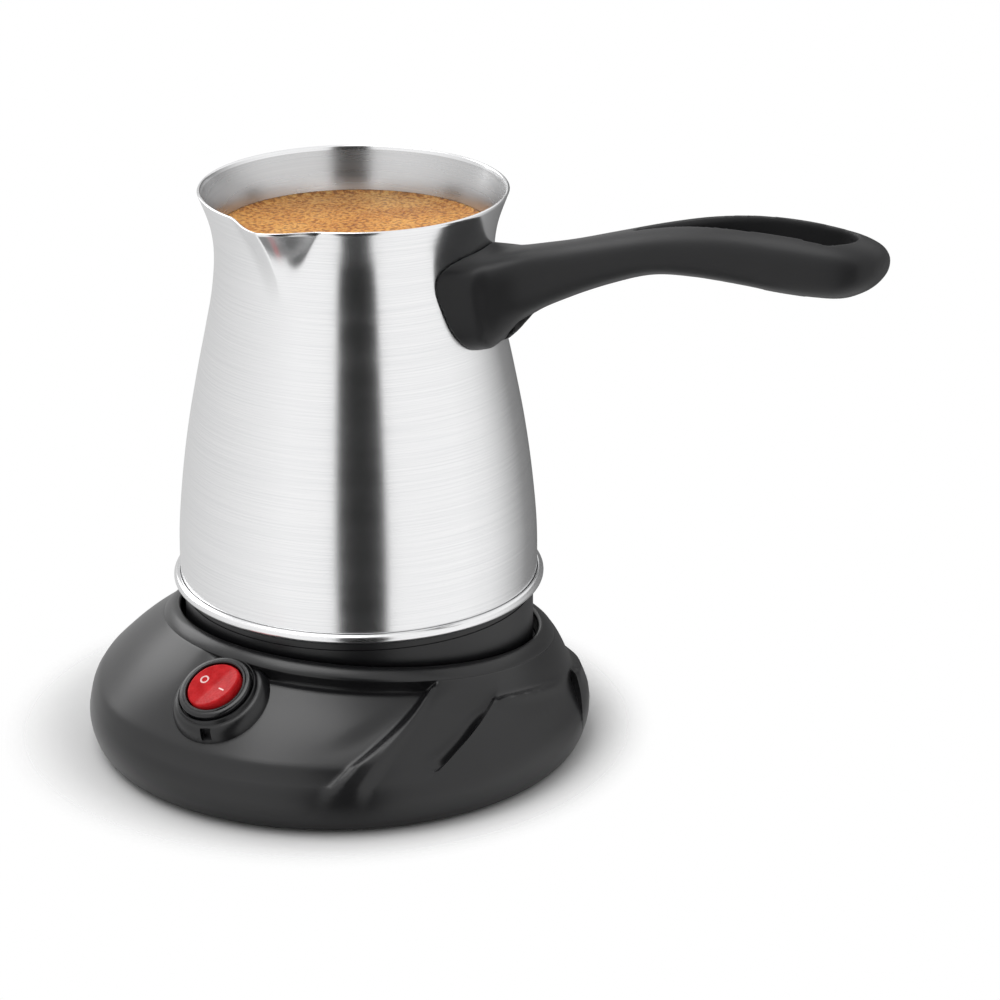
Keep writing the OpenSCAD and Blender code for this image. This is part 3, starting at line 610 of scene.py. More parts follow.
@dataclass
class Pot(SubAssembly):
    """Steel pot with its pouring lip, rolled seam, floor and the coffee in it. Sizes in mm."""

    body: str = "pot"
    seam_z: float = 41.0
    seam_r: float = 48.0
    wall: float = 0.8
    lip_dir: float = -90.0
    lip_reach: float = 6.0
    lip_fold: float = 21.0
    lip_half: float = 19.0
    gather: Point = (0.62, 42.0)
    coffee_z: float = 133.4
    side: tuple[Knot, ...] = ((1.6, 46.3), (14, 46.2), (28, 45), (42, 43.1), (56, 40.5),
                              (68, 38), (78, 36.1), (88, 35.3), (96, 36.3), (104, 39.1))

    @property
    def rim_z(self) -> float:
        """Height of the rim."""
        return self.seam_z + self.side[-1][0]

    def radius_at(self, z: float) -> float:
        """Outside radius of the wall at a height."""
        heights = [self.seam_z + k[0] for k in self.side]
        i = max(0, min(len(heights) - 2, sum(h <= z for h in heights) - 1))
        return along(self.side, i + (z - heights[i]) / (heights[i + 1] - heights[i]))[1]

    def lip_push(self, off: float, z: float) -> float:
        """How far the pouring lip's fold stands out, at an angle off its middle and a height."""
        rise = max(0.0, (z - (self.rim_z - self.lip_fold)) / self.lip_fold)
        near = max(0.0, 1 - abs(off) / (self.lip_half * (0.25 + 0.75 * rise)))
        fold = near * near * (3 - 2 * near) * 0.55 + near * 0.45
        return self.lip_reach * rise ** 1.5 * fold

    def wall_section(self) -> list[Point]:
        """Section of the wall: up the outside, over the rolled rim and down the inside."""
        last = len(self.side) - 1
        outside = [along(self.side, t * last / 64) for t in range(65)]
        up = [(r, self.seam_z + z) for z, r in outside]
        down = [(r - self.wall, z) for r, z in reversed(up)]
        rim = arc((up[-1][0] - self.wall / 2, up[-1][1] - 0.12), self.wall / 2 + 0.05, 20, 160, 6)
        return up[:-1] + rim + down[1:]

    def build_wall(self) -> None:
        """The wall, with the lip folded out of its rim."""
        section = self.wall_section()

        def place(row: int, angle: float) -> Vector:
            """A point of the wall, pushed out by the lip; the columns gather round the lip."""
            r, z = section[row]
            off = wrapped(math.degrees(angle))
            off -= self.gather[0] * off * math.exp(-((off / self.gather[1]) ** 2))
            r += self.lip_push(off, z)
            turn = math.radians(off + self.lip_dir)
            return Vector((r * math.cos(turn), r * math.sin(turn), z)) * MM

        wall = Bench.loft("pot_wall", len(section), 264, place)
        self.finish(wall, Finish.STEEL, "brushed_steel", ["pot_body"])
        wall.data.materials.append(Finish.INNER_STEEL.material())
        for face in wall.data.polygons:
            x, y, z = face.center
            inward = face.normal.x * x + face.normal.y * y < -0.25 * math.hypot(x, y)
            face.material_index = int(inward and z < (self.rim_z - 0.6) * MM)

    def build_floor(self) -> None:
        """The floor with the bright rolled bead at the foot of the wall."""
        z, bead = self.seam_z, 1.3
        inner = self.side[0][1] - self.wall - 0.1
        section = [(0, z + 2.4), (inner - 0.8, z + 2.4), (inner - 0.8, z + 0.6),
                   (inner + 0.4, z), (self.seam_r - bead, z)]
        section += arc((self.seam_r - bead, z + bead), bead, -90, 90, 14)
        section += [(self.seam_r - bead - 0.25, z + 2 * bead - 0.1), (inner + 0.9, z + 1.5),
                    (inner, z + 1.5), (inner, z + 3.2), (inner - 0.4, z + 3.6), (0, z + 3.6)]
        floor = Bench.lathe("pot_floor", section, 240, closed=False)
        Bench.smooth(floor)
        self.finish(floor, Finish.STEEL, "brushed_steel", ["heater_plate"])

    def build_coffee(self) -> None:
        """Coffee up to the neck, with a raised ring of foam against the steel."""
        edge = self.radius_at(self.coffee_z) - self.wall - 0.12
        rings = [(0.0, 0.35)] + [(edge * i / 40, 0.35 - 0.1 * (i / 40) ** 2)
                                 for i in range(1, 38)]
        rings += [(edge - 1.6, 0.3), (edge - 0.7, 0.55), (edge, 1.0), (edge - 0.2, -2.0),
                  (0.0, -2.0)]

        def place(row: int, angle: float) -> Vector:
            """A point of the foam, lumpy on top."""
            r, z = rings[row]
            spot = Vector((r * math.cos(angle), r * math.sin(angle), 0.0))
            lump = 0.22 * noise.noise(spot * 0.35) + 0.1 * noise.noise(spot * 1.3)
            spot.z = self.coffee_z + z + (lump if 0 < row < len(rings) - 3 else 0.0)
            return spot * MM

        coffee = Bench.loft("coffee", len(rings), 160, place, closed=False)
        self.finish(coffee, Finish.FOAM)

    def build(self) -> None:
        """Builds wall, floor and coffee."""
        self.build_wall()
        self.build_floor()
        self.build_coffee()


@dataclass
class Skirt(SubAssembly):
    """Black collar under the seam. Sizes in mm."""

    body: str = "pot"
    outer: float = 45.3
    bottom: float = 21.3
    top: float = 40.9

    def build(self) -> None:
        """Builds the collar with softened edges and a fine line under its top."""
        r, b, t = self.outer, self.bottom, self.top
        section = arc((r - 0.7, t - 0.5), 0.5, 90, 0, 4)
        section = [(p[0] + 0.2, p[1]) for p in section]
        section += [(r, t - 1.9), (r - 0.25, t - 2.0), (r - 0.25, t - 2.3), (r, t - 2.4)]
        section += arc((r - 1.0, b + 1.0), 1.0, 0, -90, 5)
        section += [(32, b), (32, b + 2), (r - 2.0, b + 2), (r - 2.0, t)]
        collar = Bench.lathe("pot_collar", section, 240)
        Bench.smooth(collar)
        self.finish(collar, Finish.SKIRT, "black_plastic", ["pot_skirt"])


# ---- handle ---------------------------------------------------------------------------------


@dataclass
class Handle(SubAssembly):
    """Moulded handle: flared foot, arched arm and a grip with a long slot. Sizes in mm."""

    body: str = "pot"
    tip: float = 144.5
    half_grip: float = 12.0
    slot_half: float = 6.25
    slot_start: float = 80.0
    slot_end: float = 136.5
    screw_spots: tuple[Point, ...] = ((41.5, 121.0), (48.0, 123.2))

    @property
    def knots(self) -> tuple[Knot, ...]:
        """Stations: reach, middle height, half height, half width, narrowing, boxiness."""
        w = self.half_grip
        return ((34, 121.8, 12.4, 17.4, 0.42, 3.2), (41, 122.6, 12.3, 15.8, 0.42, 3.2),
                (45, 124.6, 11.2, 13, 0.36, 3.0), (52, 129.3, 8.6, 9.4, 0.25, 2.7),
                (62, 133.6, 7.1, 8.2, 0.15, 2.5), (74, 138.3, 6.2, 8.4, 0.1, 2.4),
                (86, 142.3, 5.9, 9.3, 0.1, 2.4), (98, 144.5, 6.8, w - 1.5, 0.1, 2.4),
                (110, 145.4, 7.8, w - 0.4, 0.12, 2.4), (122, 145.4, 8.2, w, 0.12, 2.4),
                (self.tip - 11, 145.3, 7.5, w - 0.9, 0.12, 2.4),
                (self.tip - 4.4, 145.9, 5.6, 8.8, 0.1, 2.3),
                (self.tip - 1.1, 146.6, 3.2, 5.2, 0.05, 2.2), (self.tip, 147, 0.9, 1.6, 0, 2.2))

    def station(self, s: float) -> list[float]:
        """Station values at a reach."""
        knots = self.knots
        i = max(0, min(len(knots) - 2, sum(k[0] <= s for k in knots) - 1))
        low, high = float(i), float(i + 1)
        for _ in range(24):
            mid = (low + high) / 2
            low, high = (mid, high) if along(knots, mid)[0] < s else (low, mid)
        return along(knots, low)

    @staticmethod
    def ring_point(k: Sequence[float], angle: float) -> Vector:
        """A point of the handle's section at a station, in mm."""
        out, up = math.cos(angle), math.sin(angle)
        out = math.copysign(abs(out) ** (2 / k[5]), out)
        up = math.copysign(abs(up) ** (2 / k[5]), up)
        return Vector((k[0], k[3] * out * (1 - k[4] * (1 - up) / 2), k[1] + k[2] * up))

    def body_piece(self, pot: Pot) -> bpy.types.Object:
        """The whole handle without its slot, its foot laid on the pot's wall."""
        last = len(self.knots) - 1
        shares = [0.0, 0.3, 0.6, 0.85, 1.0]
        steps = [1 + i * (last - 1) / 110 for i in range(110)]
        steps = sorted(steps + [last - d for d in (0.16, 0.12, 0.08, 0.05, 0.025, 0.0)])
        foot, tip = self.knots[0], self.knots[-1]

        def place(row: int, angle: float) -> Vector:
            """A point of the foot's face or of the handle's skin."""
            if row < len(shares):
                p = self.ring_point(foot, angle)
                y, z = p.y * shares[row], foot[1] + (p.z - foot[1]) * shares[row]
                r = pot.radius_at(z) + 0.12
                return Vector((math.sqrt(r * r - y * y), y, z)) * MM
            if row == len(shares) + len(steps):
                return Vector((tip[0], 0.0, tip[1])) * MM
            return self.ring_point(along(self.knots, steps[row - len(shares)]), angle) * MM

        return Bench.loft("handle_grip", len(shares) + len(steps) + 1, 112, place, closed=False)

    def slot_outline(self) -> list[Vector]:
        """Outline of the slot seen from above: pointed at the pot's end, round at the tip."""
        side: list[Point] = []
        round_x = self.slot_end - self.slot_half
        for i in range(61):
            s = self.slot_start + (round_x - self.slot_start) * i / 60
            share = ramp((s - self.slot_start) / 32.5, -0.1, 1.1)
            side.append((s, 0.5 + (self.slot_half - 0.5) * share))
        turns = [math.radians(90 - 180 * i / 24) for i in range(1, 24)]
        end = [(round_x + self.slot_half * math.cos(a), self.slot_half * math.sin(a))
               for a in turns]
        back = [(x, -y) for x, y in reversed(side)]
        return [Vector((x, y, 0.0)) for x, y in side + end + back]

    def slot_cutter(self) -> bpy.types.Object:
        """Solid of the slot, flared where it meets the top and the underside."""
        outline = self.slot_outline()
        count = len(outline)
        flare = [(-6.0, 5.0), (-0.4, 1.3), (0.5, 0.55), (1.6, 0.1), (2.8, 0.0)]
        levels = [(False, *f) for f in flare] + [(True, -f[0], f[1]) for f in reversed(flare)]
        levels = [(False, -6.0, None), *levels, (True, 6.0, None)]

        def place(row: int, angle: float) -> Vector:
            """A point of the cutter: the outline, offset and lifted to its level."""
            i = round(angle * count / (2 * math.pi)) % count
            at_top, lift, offset = levels[row]
            here, before, after = outline[i], outline[i - 1], outline[(i + 1) % count]
            if offset is None:
                return Vector((105.0, 0.0, (165.0 if at_top else 120.0))) * MM
            way = (after - before).normalized()
            spot = here + Vector((-way.y, way.x, 0.0)) * offset
            k = self.station(min(max(here.x, 60.0), self.tip - 4))
            spot.z = k[1] + (k[2] if at_top else -k[2]) + lift
            return spot * MM

        return Bench.loft("slot_cutter", len(levels), count, place, closed=False)

    def build(self) -> None:
        """Builds the handle, cuts slot and screw wells, and softens every edge."""
        grip = self.body_piece(Pot())
        wells = [Bench.lathe("screw_well", [(0, 100), (3.7, 100), (3.7, z), (0, z)], 48,
                             closed=False, frame=Matrix.Translation((x * MM, 0, 0)))
                 for x, z in self.screw_spots]
        Bench.cut(grip, self.slot_cutter(), *wells)
        Bench.modify(grip, "REMESH", mode="VOXEL", voxel_size=0.00042, use_smooth_shade=True)
        Bench.modify(grip, "SMOOTH", factor=0.5, iterations=5)
        Bench.pick(grip)
        bpy.ops.object.shade_smooth()
        self.finish(grip, Finish.GRIP, "handle_plastic", ["handle"])


# ---- base -----------------------------------------------------------------------------------


@dataclass
class Base(SubAssembly):
    """Base housing: sunk seat, raised lip, control panel, ridge and swept lobes. Sizes in mm."""

    body: str = "base"
    radius: float = 65.3
    shift: float = 9.0
    panel_dir: float = PANEL_DIR
    seat_r: float = 46.5
    seat_floor: float = 21.0
    well_r: float = 31.0
    well_floor: float = 11.0
    lip_z: float = 30.3
    lip_slope: float = 7.6
    step: float = 3.4
    lip_foot_r: float = 51.0
    inner_radius: float = 61.0
    foot: float = 1.6
    panel_from: float = -15.5
    panel_to: float = 58.5
    ridge_lean: float = 1.12
    ridge_r: float = 50.0
    ridge_half: float = 2.4
    ridge_low: float = 0.3
    ridge_gain: float = 1.9
    ridge_rise: Point = (53.0, 69.0)
    ridge_end: Point = (70.0, 75.5)
    dip_depth: float = 0.4
    dip_start: Point = (51.0, 56.0)
    dip_end: Point = (60.0, 67.0)
    valley_depth: float = 1.3
    valley_fall: float = 0.8
    valley_end: Point = (60.0, 70.0)
    slit_depth: float = 1.5
    slit_half: float = 2.2
    slit_start: Point = (57.0, 60.0)
    slit_end: Point = (65.5, 68.0)
    relief_r: float = 54.0
    first_crease: float = 78.0
    lobe_lean: float = 1.8
    lobe_pitch: float = 40.5
    lobe_count: int = 5
    lobe_height: float = 1.2
    lobe_fall: float = 2.3
    bead_height: float = 0.9
    lobe_start: Point = (55.6, 57.2)
    lobe_end: Point = (64.5, 69.5)
    lean_reach: float = 20.0
    relief_share: Point = (0.6, 0.8)
    columns: int = 480
    per_degree: int = 4

    def reach(self, psi: float, r: float) -> float:
        """Distance from the pot's axis to a circle about the base's own centre."""
        a = math.radians(psi)
        return self.shift * math.cos(a) + math.sqrt(r * r - (self.shift * math.sin(a)) ** 2)

    def lip_height(self, psi: float) -> float:
        """Height of the seat lip's crown."""
        rise = math.tan(math.radians(self.lip_slope)) * self.seat_r
        return self.lip_z + rise * math.cos(math.radians(psi))

    def step_at(self, psi: float, r: float) -> float:
        """How far the panel is sunk under the lip, up to the ridge at its end."""
        p = psi + self.ridge_lean * (r - self.ridge_r)
        return (self.step * ramp(psi, self.panel_from, self.panel_from + 22)
                * (1 - ramp(p, self.panel_to - 2.5, self.panel_to + 1.5)))

    def ridge(self, off: float, r: float) -> float:
        """The ridge at the panel's end and the dip beside it, at an angle off its middle."""
        half = self.ridge_half + 0.1 * max(0.0, r - self.ridge_r)
        crest = ((self.ridge_low + self.ridge_gain * ramp(r, *self.ridge_rise))
                 * (1 - ramp(abs(off) / half, 0.3, 1.05)))
        dip = self.dip_depth * math.exp(-((off / half + 2) / 1.1) ** 2)
        return (crest * (1 - ramp(r, *self.ridge_end))
                - dip * ramp(r, *self.dip_start) * (1 - ramp(r, *self.dip_end)))

    def valley(self, u: float, r: float) -> float:
        """The valley between the ridge and the first crease, at a share of its width."""
        hollow = self.valley_depth * math.sin(math.pi * u ** 1.5) * ramp(r, 51, 57)
        return (-hollow - self.valley_fall * u * ramp(r, 54, 58)) * (1 - ramp(r, *self.valley_end))

    def slit(self, off: float, r: float) -> float:
        """Depth of the short slit along the first crease, at an angle off the crease."""
        return (self.slit_depth * math.exp(-(off / self.slit_half) ** 2)
                * ramp(r, *self.slit_start) * (1 - ramp(r, *self.slit_end)))

    def lobe(self, n: float, r: float) -> float:
        """The swept lobes, each highest and beaded at its crease, at a place counted in lobes."""
        f = n - math.floor(n)
        early = 6.0 * min(1.0, float(math.floor(n)))
        bead = self.bead_height * math.exp(-((r - self.lobe_start[1] + 0.3) / 0.9) ** 2)
        return (((self.lobe_height - self.lobe_fall * f ** 2.2) * ramp(r, *self.lobe_start)
                 + bead * (1 - f * f) * ramp(f, 0, 0.1))
                * (1 - ramp(r, self.lobe_end[0] - early, self.lobe_end[1] - early))
                * (1 - ramp(n, self.lobe_count - 0.6, self.lobe_count)))

    def relief(self, psi: float, r: float, share: float) -> float:
        """Height of the ridge, the valley behind it and the lobes above the plain form."""
        p = psi + 360 if psi < -79 else psi
        lean = self.ridge_lean * (r - self.ridge_r)
        start = self.panel_to + 3 - lean
        crease = self.first_crease - self.lobe_lean * (r - self.relief_r)
        u = (p - start) / max(4.0, crease - start)
        swell = self.ridge(p - (self.panel_to - lean), r)
        if 0 < u < 1:
            swell += self.valley(u, r)
            swell -= self.slit(p - crease, r)
        n = (p + self.lobe_lean * (r - self.relief_r) - self.first_crease) / self.lobe_pitch
        if 0 <= n < self.lobe_count:
            swell += self.lobe(n, r)
        return share * swell

    def outline(self, psi: float) -> list[Knot]:
        """Section of the housing at an angle, from its hole over the lip to its foot and back.

        Args:
            psi: angle from the panel's direction, in degrees.

        Returns:
            Corners as (radius, height, share of the relief, share of the lean).
        """
        w, zl = self.reach(psi, self.radius), self.lip_height(psi)
        s = self.step_at(psi, self.ridge_r)
        keen = ramp(-psi, 5, 35) * (1 - ramp(-psi, 85, 130))
        rise = 5 * ramp(-psi, 20, 70) * (1 - ramp(-psi, 100, 170))
        zc = min(17 + rise * (1 - 0.55 * keen) - 0.6 * keen, zl - 6)
        rc = w - 4.6 + 1.7 * keen - 0.25 * (zc - 17)
        r0, z0, cut = self.lip_foot_r, zl - 2.6 - s, s / self.step
        sf, wf, sr, wr = self.seat_floor, self.well_floor, self.seat_r, self.well_r
        hidden = [(17.0, wf - 2), (17.0, wf - 1), (17.0, wf), (18.5, wf), (wr - 0.6, wf),
                  (wr, wf), (wr, wf + 0.7), (wr, sf - 0.8), (wr + 0.3, sf), (wr + 1.2, sf),
                  (sr - 0.8, sf), (sr, sf), (sr, sf + 0.9), (sr, zl - 3), (sr, zl - 1.1)]
        inside = [(r, z, 0.0, 0.0) for r, z in hidden]
        crown = [(sr + 0.25, zl - 0.2, 0, 0), (47.6, zl, 0, 0), (49, zl - 0.5, 0, 0),
                 (50.4, zl - 1.7, 0.2, 0), (r0 - 0.1, zl - 2.4, 0.2, 0),
                 (r0 - 0.1 - 0.4 * cut, zl - 2.5 - 0.6 * cut, 0.2, 0),
                 (r0 - 0.1 - 1.1 * cut, zl - 2.55 - 0.75 * s, 0.5, 0),
                 (r0 - 0.1 - 1.0 * cut, zl - 2.58 - 0.97 * s, 0.8, 0), (r0, z0, 0.8, 0)]
        slope = []
        for i in range(1, 12):
            u = i / 12
            r = r0 + (rc - r0) * u
            z = zl - 2.6 - self.step_at(psi, r)
            slope.append((r, z + (zc - z) * u + 0.8 * math.sin(math.pi * u), 1.0, 1.0))
        edge = [(rc, zc, 0.95, 1), (rc + 0.8, zc - 1.2, 0.9, 1),
                (w - 2.3 + 1.1 * keen, zc - 3.2, 0.75, 1),
                (w - 0.6, zc * 0.66 + 0.6, 0.45, 1), (w, 8.6, 0.2, 1), (w - 0.7, 4.6, 0, 1),
                (w - 2.4, self.foot - 0.4, 0, 1), (w - 3.6, self.foot - 0.4, 0, 1)]
        q = self.reach(psi, self.inner_radius)
        under = [(q, 3.0), (q, 8.0), (q - 4, zc - 4.6), (max(sr + 2.6, q - 14), zc - 1.0),
                 (sr + 2.1, sf - 1), (sr + 1.6, sf - 2), (wr + 2.2, sf - 2), (wr + 2, wf - 2)]
        return inside + crown + slope + edge + [(r, z, 0.0, 0.0) for r, z in under]

    def housing(self) -> bpy.types.Object:
        """The housing as one closed shell."""
        half_turn = 180 * self.per_degree
        rings = {k: self.section(k / self.per_degree) for k in range(-half_turn, half_turn + 1)}

        def at(psi: float, row: int) -> list[float]:
            """A corner of the section at any angle, blended from its two neighbours."""
            k = int(math.floor(psi * self.per_degree))
            u = psi * self.per_degree - k
            low, high = rings[k][row], rings[min(k + 1, half_turn)][row]
            return [a + (b - a) * u for a, b in zip(low, high)]

        def place(row: int, angle: float) -> Vector:
            """A point of the shell, turned back by its lean and lifted by the relief."""
            q = self.spaced(math.degrees(angle))
            lean = (self.ridge_lean * ramp(q, 5, 56)
                    + (self.lobe_lean - self.ridge_lean) * ramp(q, 57, 82)
                    - self.lobe_lean * ramp(q, 282, 345))
            psi = wrapped(q)
            for _ in range(4):
                r, z, share, leans = at(psi, row)
                out = max(0.0, min(r - self.lip_foot_r, self.lean_reach))
                psi = wrapped(q - lean * leans * out)
            r, z, share, leans = at(psi, row)
            d = self.relief(psi + 1e-4, r, share)
            turn = math.radians(psi + self.panel_dir)
            r += self.relief_share[0] * d
            z += self.relief_share[1] * d
            return Vector((r * math.cos(turn), r * math.sin(turn), z)) * MM

        return Bench.loft("base_shell", len(rings[0]), self.columns, place)

    def spaced(self, q: float) -> float:
        """Column angles: evenly spaced, but closer together ahead of each lobe's crease."""
        first = self.first_crease + self.lobe_lean * (self.relief_r - self.lip_foot_r)
        n = (q - math.floor(first * 4 / 3) * 0.75) / self.lobe_pitch
        if not 0 <= n < self.lobe_count:
            return q
        k = math.floor(n + 1e-6)
        return first + self.lobe_pitch * (k + 1 - (1 - max(0.0, n - k)) ** 1.3)

    def section(self, psi: float) -> list[Knot]:
        """The housing's section at an angle, with its corners rounded."""
        return corner_cut(self.outline(psi), 1, closed=True)

    def build(self) -> None:
        """Builds the housing and opens it for the switch and the cord."""
        shell = self.housing()
        barrel = Bench.lathe("barrel_hole", [(0, -16), (8.4, -16), (8.4, 4), (0, 4)], 64,
                             closed=False, frame=Switch().frame())
        cord = Matrix.Rotation(math.radians(self.panel_dir + 180), 4, "Z")
        cord = cord @ Matrix.Translation(Vector((self.reach(180, self.radius), 0, 9.0)) * MM)
        cord = cord @ Matrix.Rotation(math.pi / 2, 4, "Y")
        collar = Bench.lathe("collar_hole", [(0, -12), (5, -12), (5, -2.1), (6.4, -2.1),
                                             (6.4, 9), (0, 9)], 64, closed=False, frame=cord)
        Bench.cut(shell, barrel, collar)
        Bench.smooth(shell, 40)
        self.finish(shell, Finish.SHELL, "black_plastic", ["base_housing"])


# ---- switch ---------------------------------------------------------------------------------


@dataclass
class Switch(SubAssembly):
    """Round rocker switch on its pedestal. Sizes in mm."""

    body: str = "base"
    panel_dir: float = PANEL_DIR
    reach: float = 60.3
    height: float = 31.2
    tilt: float = 30.0
    spin: float = 75.0
    bezel_r: float = 9.5
    rocker_r: float = 7.2
    pivot: float = 1.7
    rest: float = -8.0
    face_slope: float = 8.0
    pedestal_r: float = 12.3
    barrel_hole_r: float = 8.35
    marks_at: float = 3.7

    def frame(self) -> Matrix:
        """The switch's own frame in metres: z out of its face, x from its off to its on side."""
        turn = Matrix.Rotation(math.radians(self.panel_dir), 4, "Z")
        place = Matrix.Translation(Vector((self.reach, 0, self.height)) * MM)
        lean = Matrix.Rotation(math.radians(self.tilt), 4, "Y")
        return turn @ place @ lean @ Matrix.Rotation(math.radians(self.spin), 4, "Z")

    def build_pedestal(self) -> None:
        """The raised ring that the switch stands in, merged into the panel."""
        r, hole = self.pedestal_r, self.barrel_hole_r
        section = [(hole, -10.5), (r + 1.6, -10.5), (r + 0.9, -7.4), (r + 0.5, -5.6),
                   (r + 0.1, -4.6), (r - 0.5, -3.7), (r - 1.2, -3.35), (r - 1.5, -3.3),
                   (r - 1.8, -3.1), (r - 1.9, -2.6), (r - 2.0, -2.1), (r - 2.3, -1.9),
                   (10.15, -1.85), (9.85, -2.1), (9.8, -2.8), (9.6, -3.0), (hole, -3.0)]
        ring = Bench.lathe("switch_pedestal", section, 128, frame=self.frame())
        spot = (self.frame() @ Matrix.Rotation(math.radians(-58), 4, "Z")
                @ Matrix.Translation(Vector((12.6, 0, -3.2)) * MM)
                @ Matrix.Rotation(math.pi / 4, 4, "Z"))
        notch = Bench.lathe("notch_cutter", [(0, -3), (2.0, -3), (2.0, 3), (0, 3)], 4,
                            closed=False, frame=spot)
        Bench.cut(ring, notch)
        Bench.smooth(ring, 30)
        self.finish(ring, Finish.SHELL, "black_plastic")

    def build_bezel(self) -> None:
        """The bezel: a low conical flange round the rocker."""
        r, hole = self.bezel_r, self.rocker_r + 0.3
        section = [(0.0, -6.6), (hole, -6.6), (hole, -0.75)]
        section += arc((hole + 0.4, -0.75), 0.4, 180, 90, 4)
        section += [(hole + 0.7, -0.37), (r - 1.1, -0.68)]
        section += arc((r - 0.7, -1.35), 0.7, 65, 0, 5)
        section += [(r, -2.3), (8.2, -2.35), (8.2, -7.9), (8.1, -8.0), (0.0, -8.0)]
        bezel = Bench.lathe("switch_ring", section, 128, closed=False, frame=self.frame())
        Bench.smooth(bezel, 50)
        self.finish(bezel, Finish.BEZEL, "switch_black", ["switch_bezel"])

    def face_height(self, x: float) -> float:
        """Height of the rocker's dished face over its pivot, at a distance from its middle."""
        rise = math.tan(math.radians(self.face_slope))
        return self.pivot - 0.5 + (math.sqrt(x * x + 0.35) - 0.55) * rise

    def rocker_frame(self) -> Matrix:
        """Frame of the rocker at rest, its origin on the pivot."""
        down = Matrix.Translation(Vector((0, 0, -self.pivot)) * MM)
        return self.frame() @ down @ Matrix.Rotation(math.radians(self.rest), 4, "Y")

    def build_rocker(self) -> None:
        """The rocker: a lens with two slopes, softened where they meet the side."""
        frame, ball, play = self.rocker_frame(), self.rocker_r, 0.06
        face = [(ball - 0.55) * i / 24 for i in range(25)]
        rim = [(-0.32, -0.07), (-0.12, -0.25), (-0.02, -0.5)]
        side, belly = 4, 2.3

        def place(row: int, angle: float) -> Vector:
            """A point of the rocker's face, rim, side or underside."""
            if row < len(face):
                r = face[row]
                z = self.face_height(r * math.cos(angle))
                return frame @ (Vector((r * math.cos(angle), r * math.sin(angle), z)) * MM)
            extra = row - len(face)
            edge = self.face_height(face[-1] * math.cos(angle))
            if extra < len(rim):
                r, z = ball + rim[extra][0] - play, edge + rim[extra][1]
            elif extra < len(rim) + side:
                share = (extra - len(rim) + 1) / side
                z = (edge - 0.5) * (1 - share) - belly * share
                r = math.sqrt(ball * ball - z * z) - play
            else:
                r, z = 0.0, -2.4
            return frame @ (Vector((r * math.cos(angle), r * math.sin(angle), z)) * MM)

        rows = len(face) + len(rim) + side + 1
        rocker = Bench.loft("rocker", rows, 96, place, closed=False)
        Bench.smooth(rocker, 50)
        SubAssembly("rocker").finish(rocker, Finish.ROCKER, "rocker_red", ["switch_rocker"])

    def build_marks(self) -> None:
        """The off ring and the on bar, inlaid in the rocker's face."""
        frame = self.rocker_frame()
        group = SubAssembly("rocker")
        lean = Matrix.Rotation(math.radians(self.face_slope), 4, "Y")
        section = [(0.75, 0.0), (0.8, 0.05), (1.15, 0.05), (1.2, 0.0), (1.15, -0.2), (0.8, -0.2)]
        height = self.face_height(self.marks_at)
        spot = Matrix.Translation(Vector((-self.marks_at, 0, height)) * MM)
        ring = Bench.lathe("mark_off", section, 48, frame=frame @ spot @ lean)
        group.finish(ring, Finish.MARK)
        Bench.clear()
        bpy.ops.mesh.primitive_cube_add(size=1.0)
        bar = bpy.context.object
        bar.name = bar.data.name = "mark_on"
        bpy.ops.object.mode_set(mode="EDIT")
        bpy.ops.transform.resize(value=(2.3 * MM, 0.42 * MM, 0.25 * MM))
        bpy.ops.mesh.bevel(offset=0.06 * MM, segments=2)
        bpy.ops.object.mode_set(mode="OBJECT")
        spot = Matrix.Translation(Vector((self.marks_at, 0, height - 0.07)) * MM)
        bar.data.transform(frame @ spot @ lean.inverted())
        group.finish(bar, Finish.MARK)

    def build(self) -> None:
        """Builds pedestal, bezel, rocker and marks."""
        self.build_pedestal()
        self.build_bezel()
        self.build_rocker()
        self.build_marks()


# ---- frame nodes ----------------------------------------------------------------------------


@dataclass(frozen=True)
class FrameDress:
    """Finishes of the frame's own nodes."""

    finishes: tuple[tuple[Finish, tuple[str, ...]], ...] = (
        (Finish.STEEL, ("pot_body", "heater_plate")),
        (Finish.SILICONE, ("floor_seal",)),
        (Finish.ALUMINIUM, ("heat_spreader",)),
        (Finish.SHEATH, ("heating_element",)),
        (Finish.CERAMIC, ("element_insulators", "connector_cover", "cord_clamp")),
        (Finish.BRASS, ("skirt_posts", "contact_pin", "inner_ring", "outer_ring", "pin_socket",
                        "inner_contact", "outer_contact", "switch_terminals", "contact_blade")),
        (Finish.ZINC, ("thermostat_clip", "skirt_screws", "cover_screws", "handle_bracket",
                       "handle_screws", "handle_nuts", "plate_screws", "connector_screws",
                       "clamp_screws")),
        (Finish.SHELL, ("base_housing",)),
        (Finish.SKIRT, ("pot_skirt", "skirt_cover")),
        (Finish.GRIP, ("handle",)),
        (Finish.DARK, ("dry_boil_thermostat", "pot_connector", "base_plate", "base_connector",
                       "switch_body", "cord_gland")),
        (Finish.BEZEL, ("switch_bezel",)),
        (Finish.ROCKER, ("switch_rocker",)),
        (Finish.RUBBER, ("rubber_feet",)),
        (Finish.RED_SLEEVE, ("pot_leads",)),
        (Finish.BLUE_SLEEVE, ("base_leads",)),
        (Finish.LAMP, ("switch_lamp",)),
    )

    def apply(self, nodes: dict[str, bpy.types.Object]) -> None:
        """Gives each node its finish.

        Args:
            nodes: the frame's nodes by name.
        """
        left = set(nodes)
        for finish, names in self.finishes:
            for name in names:
                for place in nodes[name].material_slots:
                    place.material = finish.material()
                left.discard(name)
        LOG.info("dressed %d nodes, left plain: %s", len(nodes) - len(left), sorted(left))


# ---- studio ---------------------------------------------------------------------------------


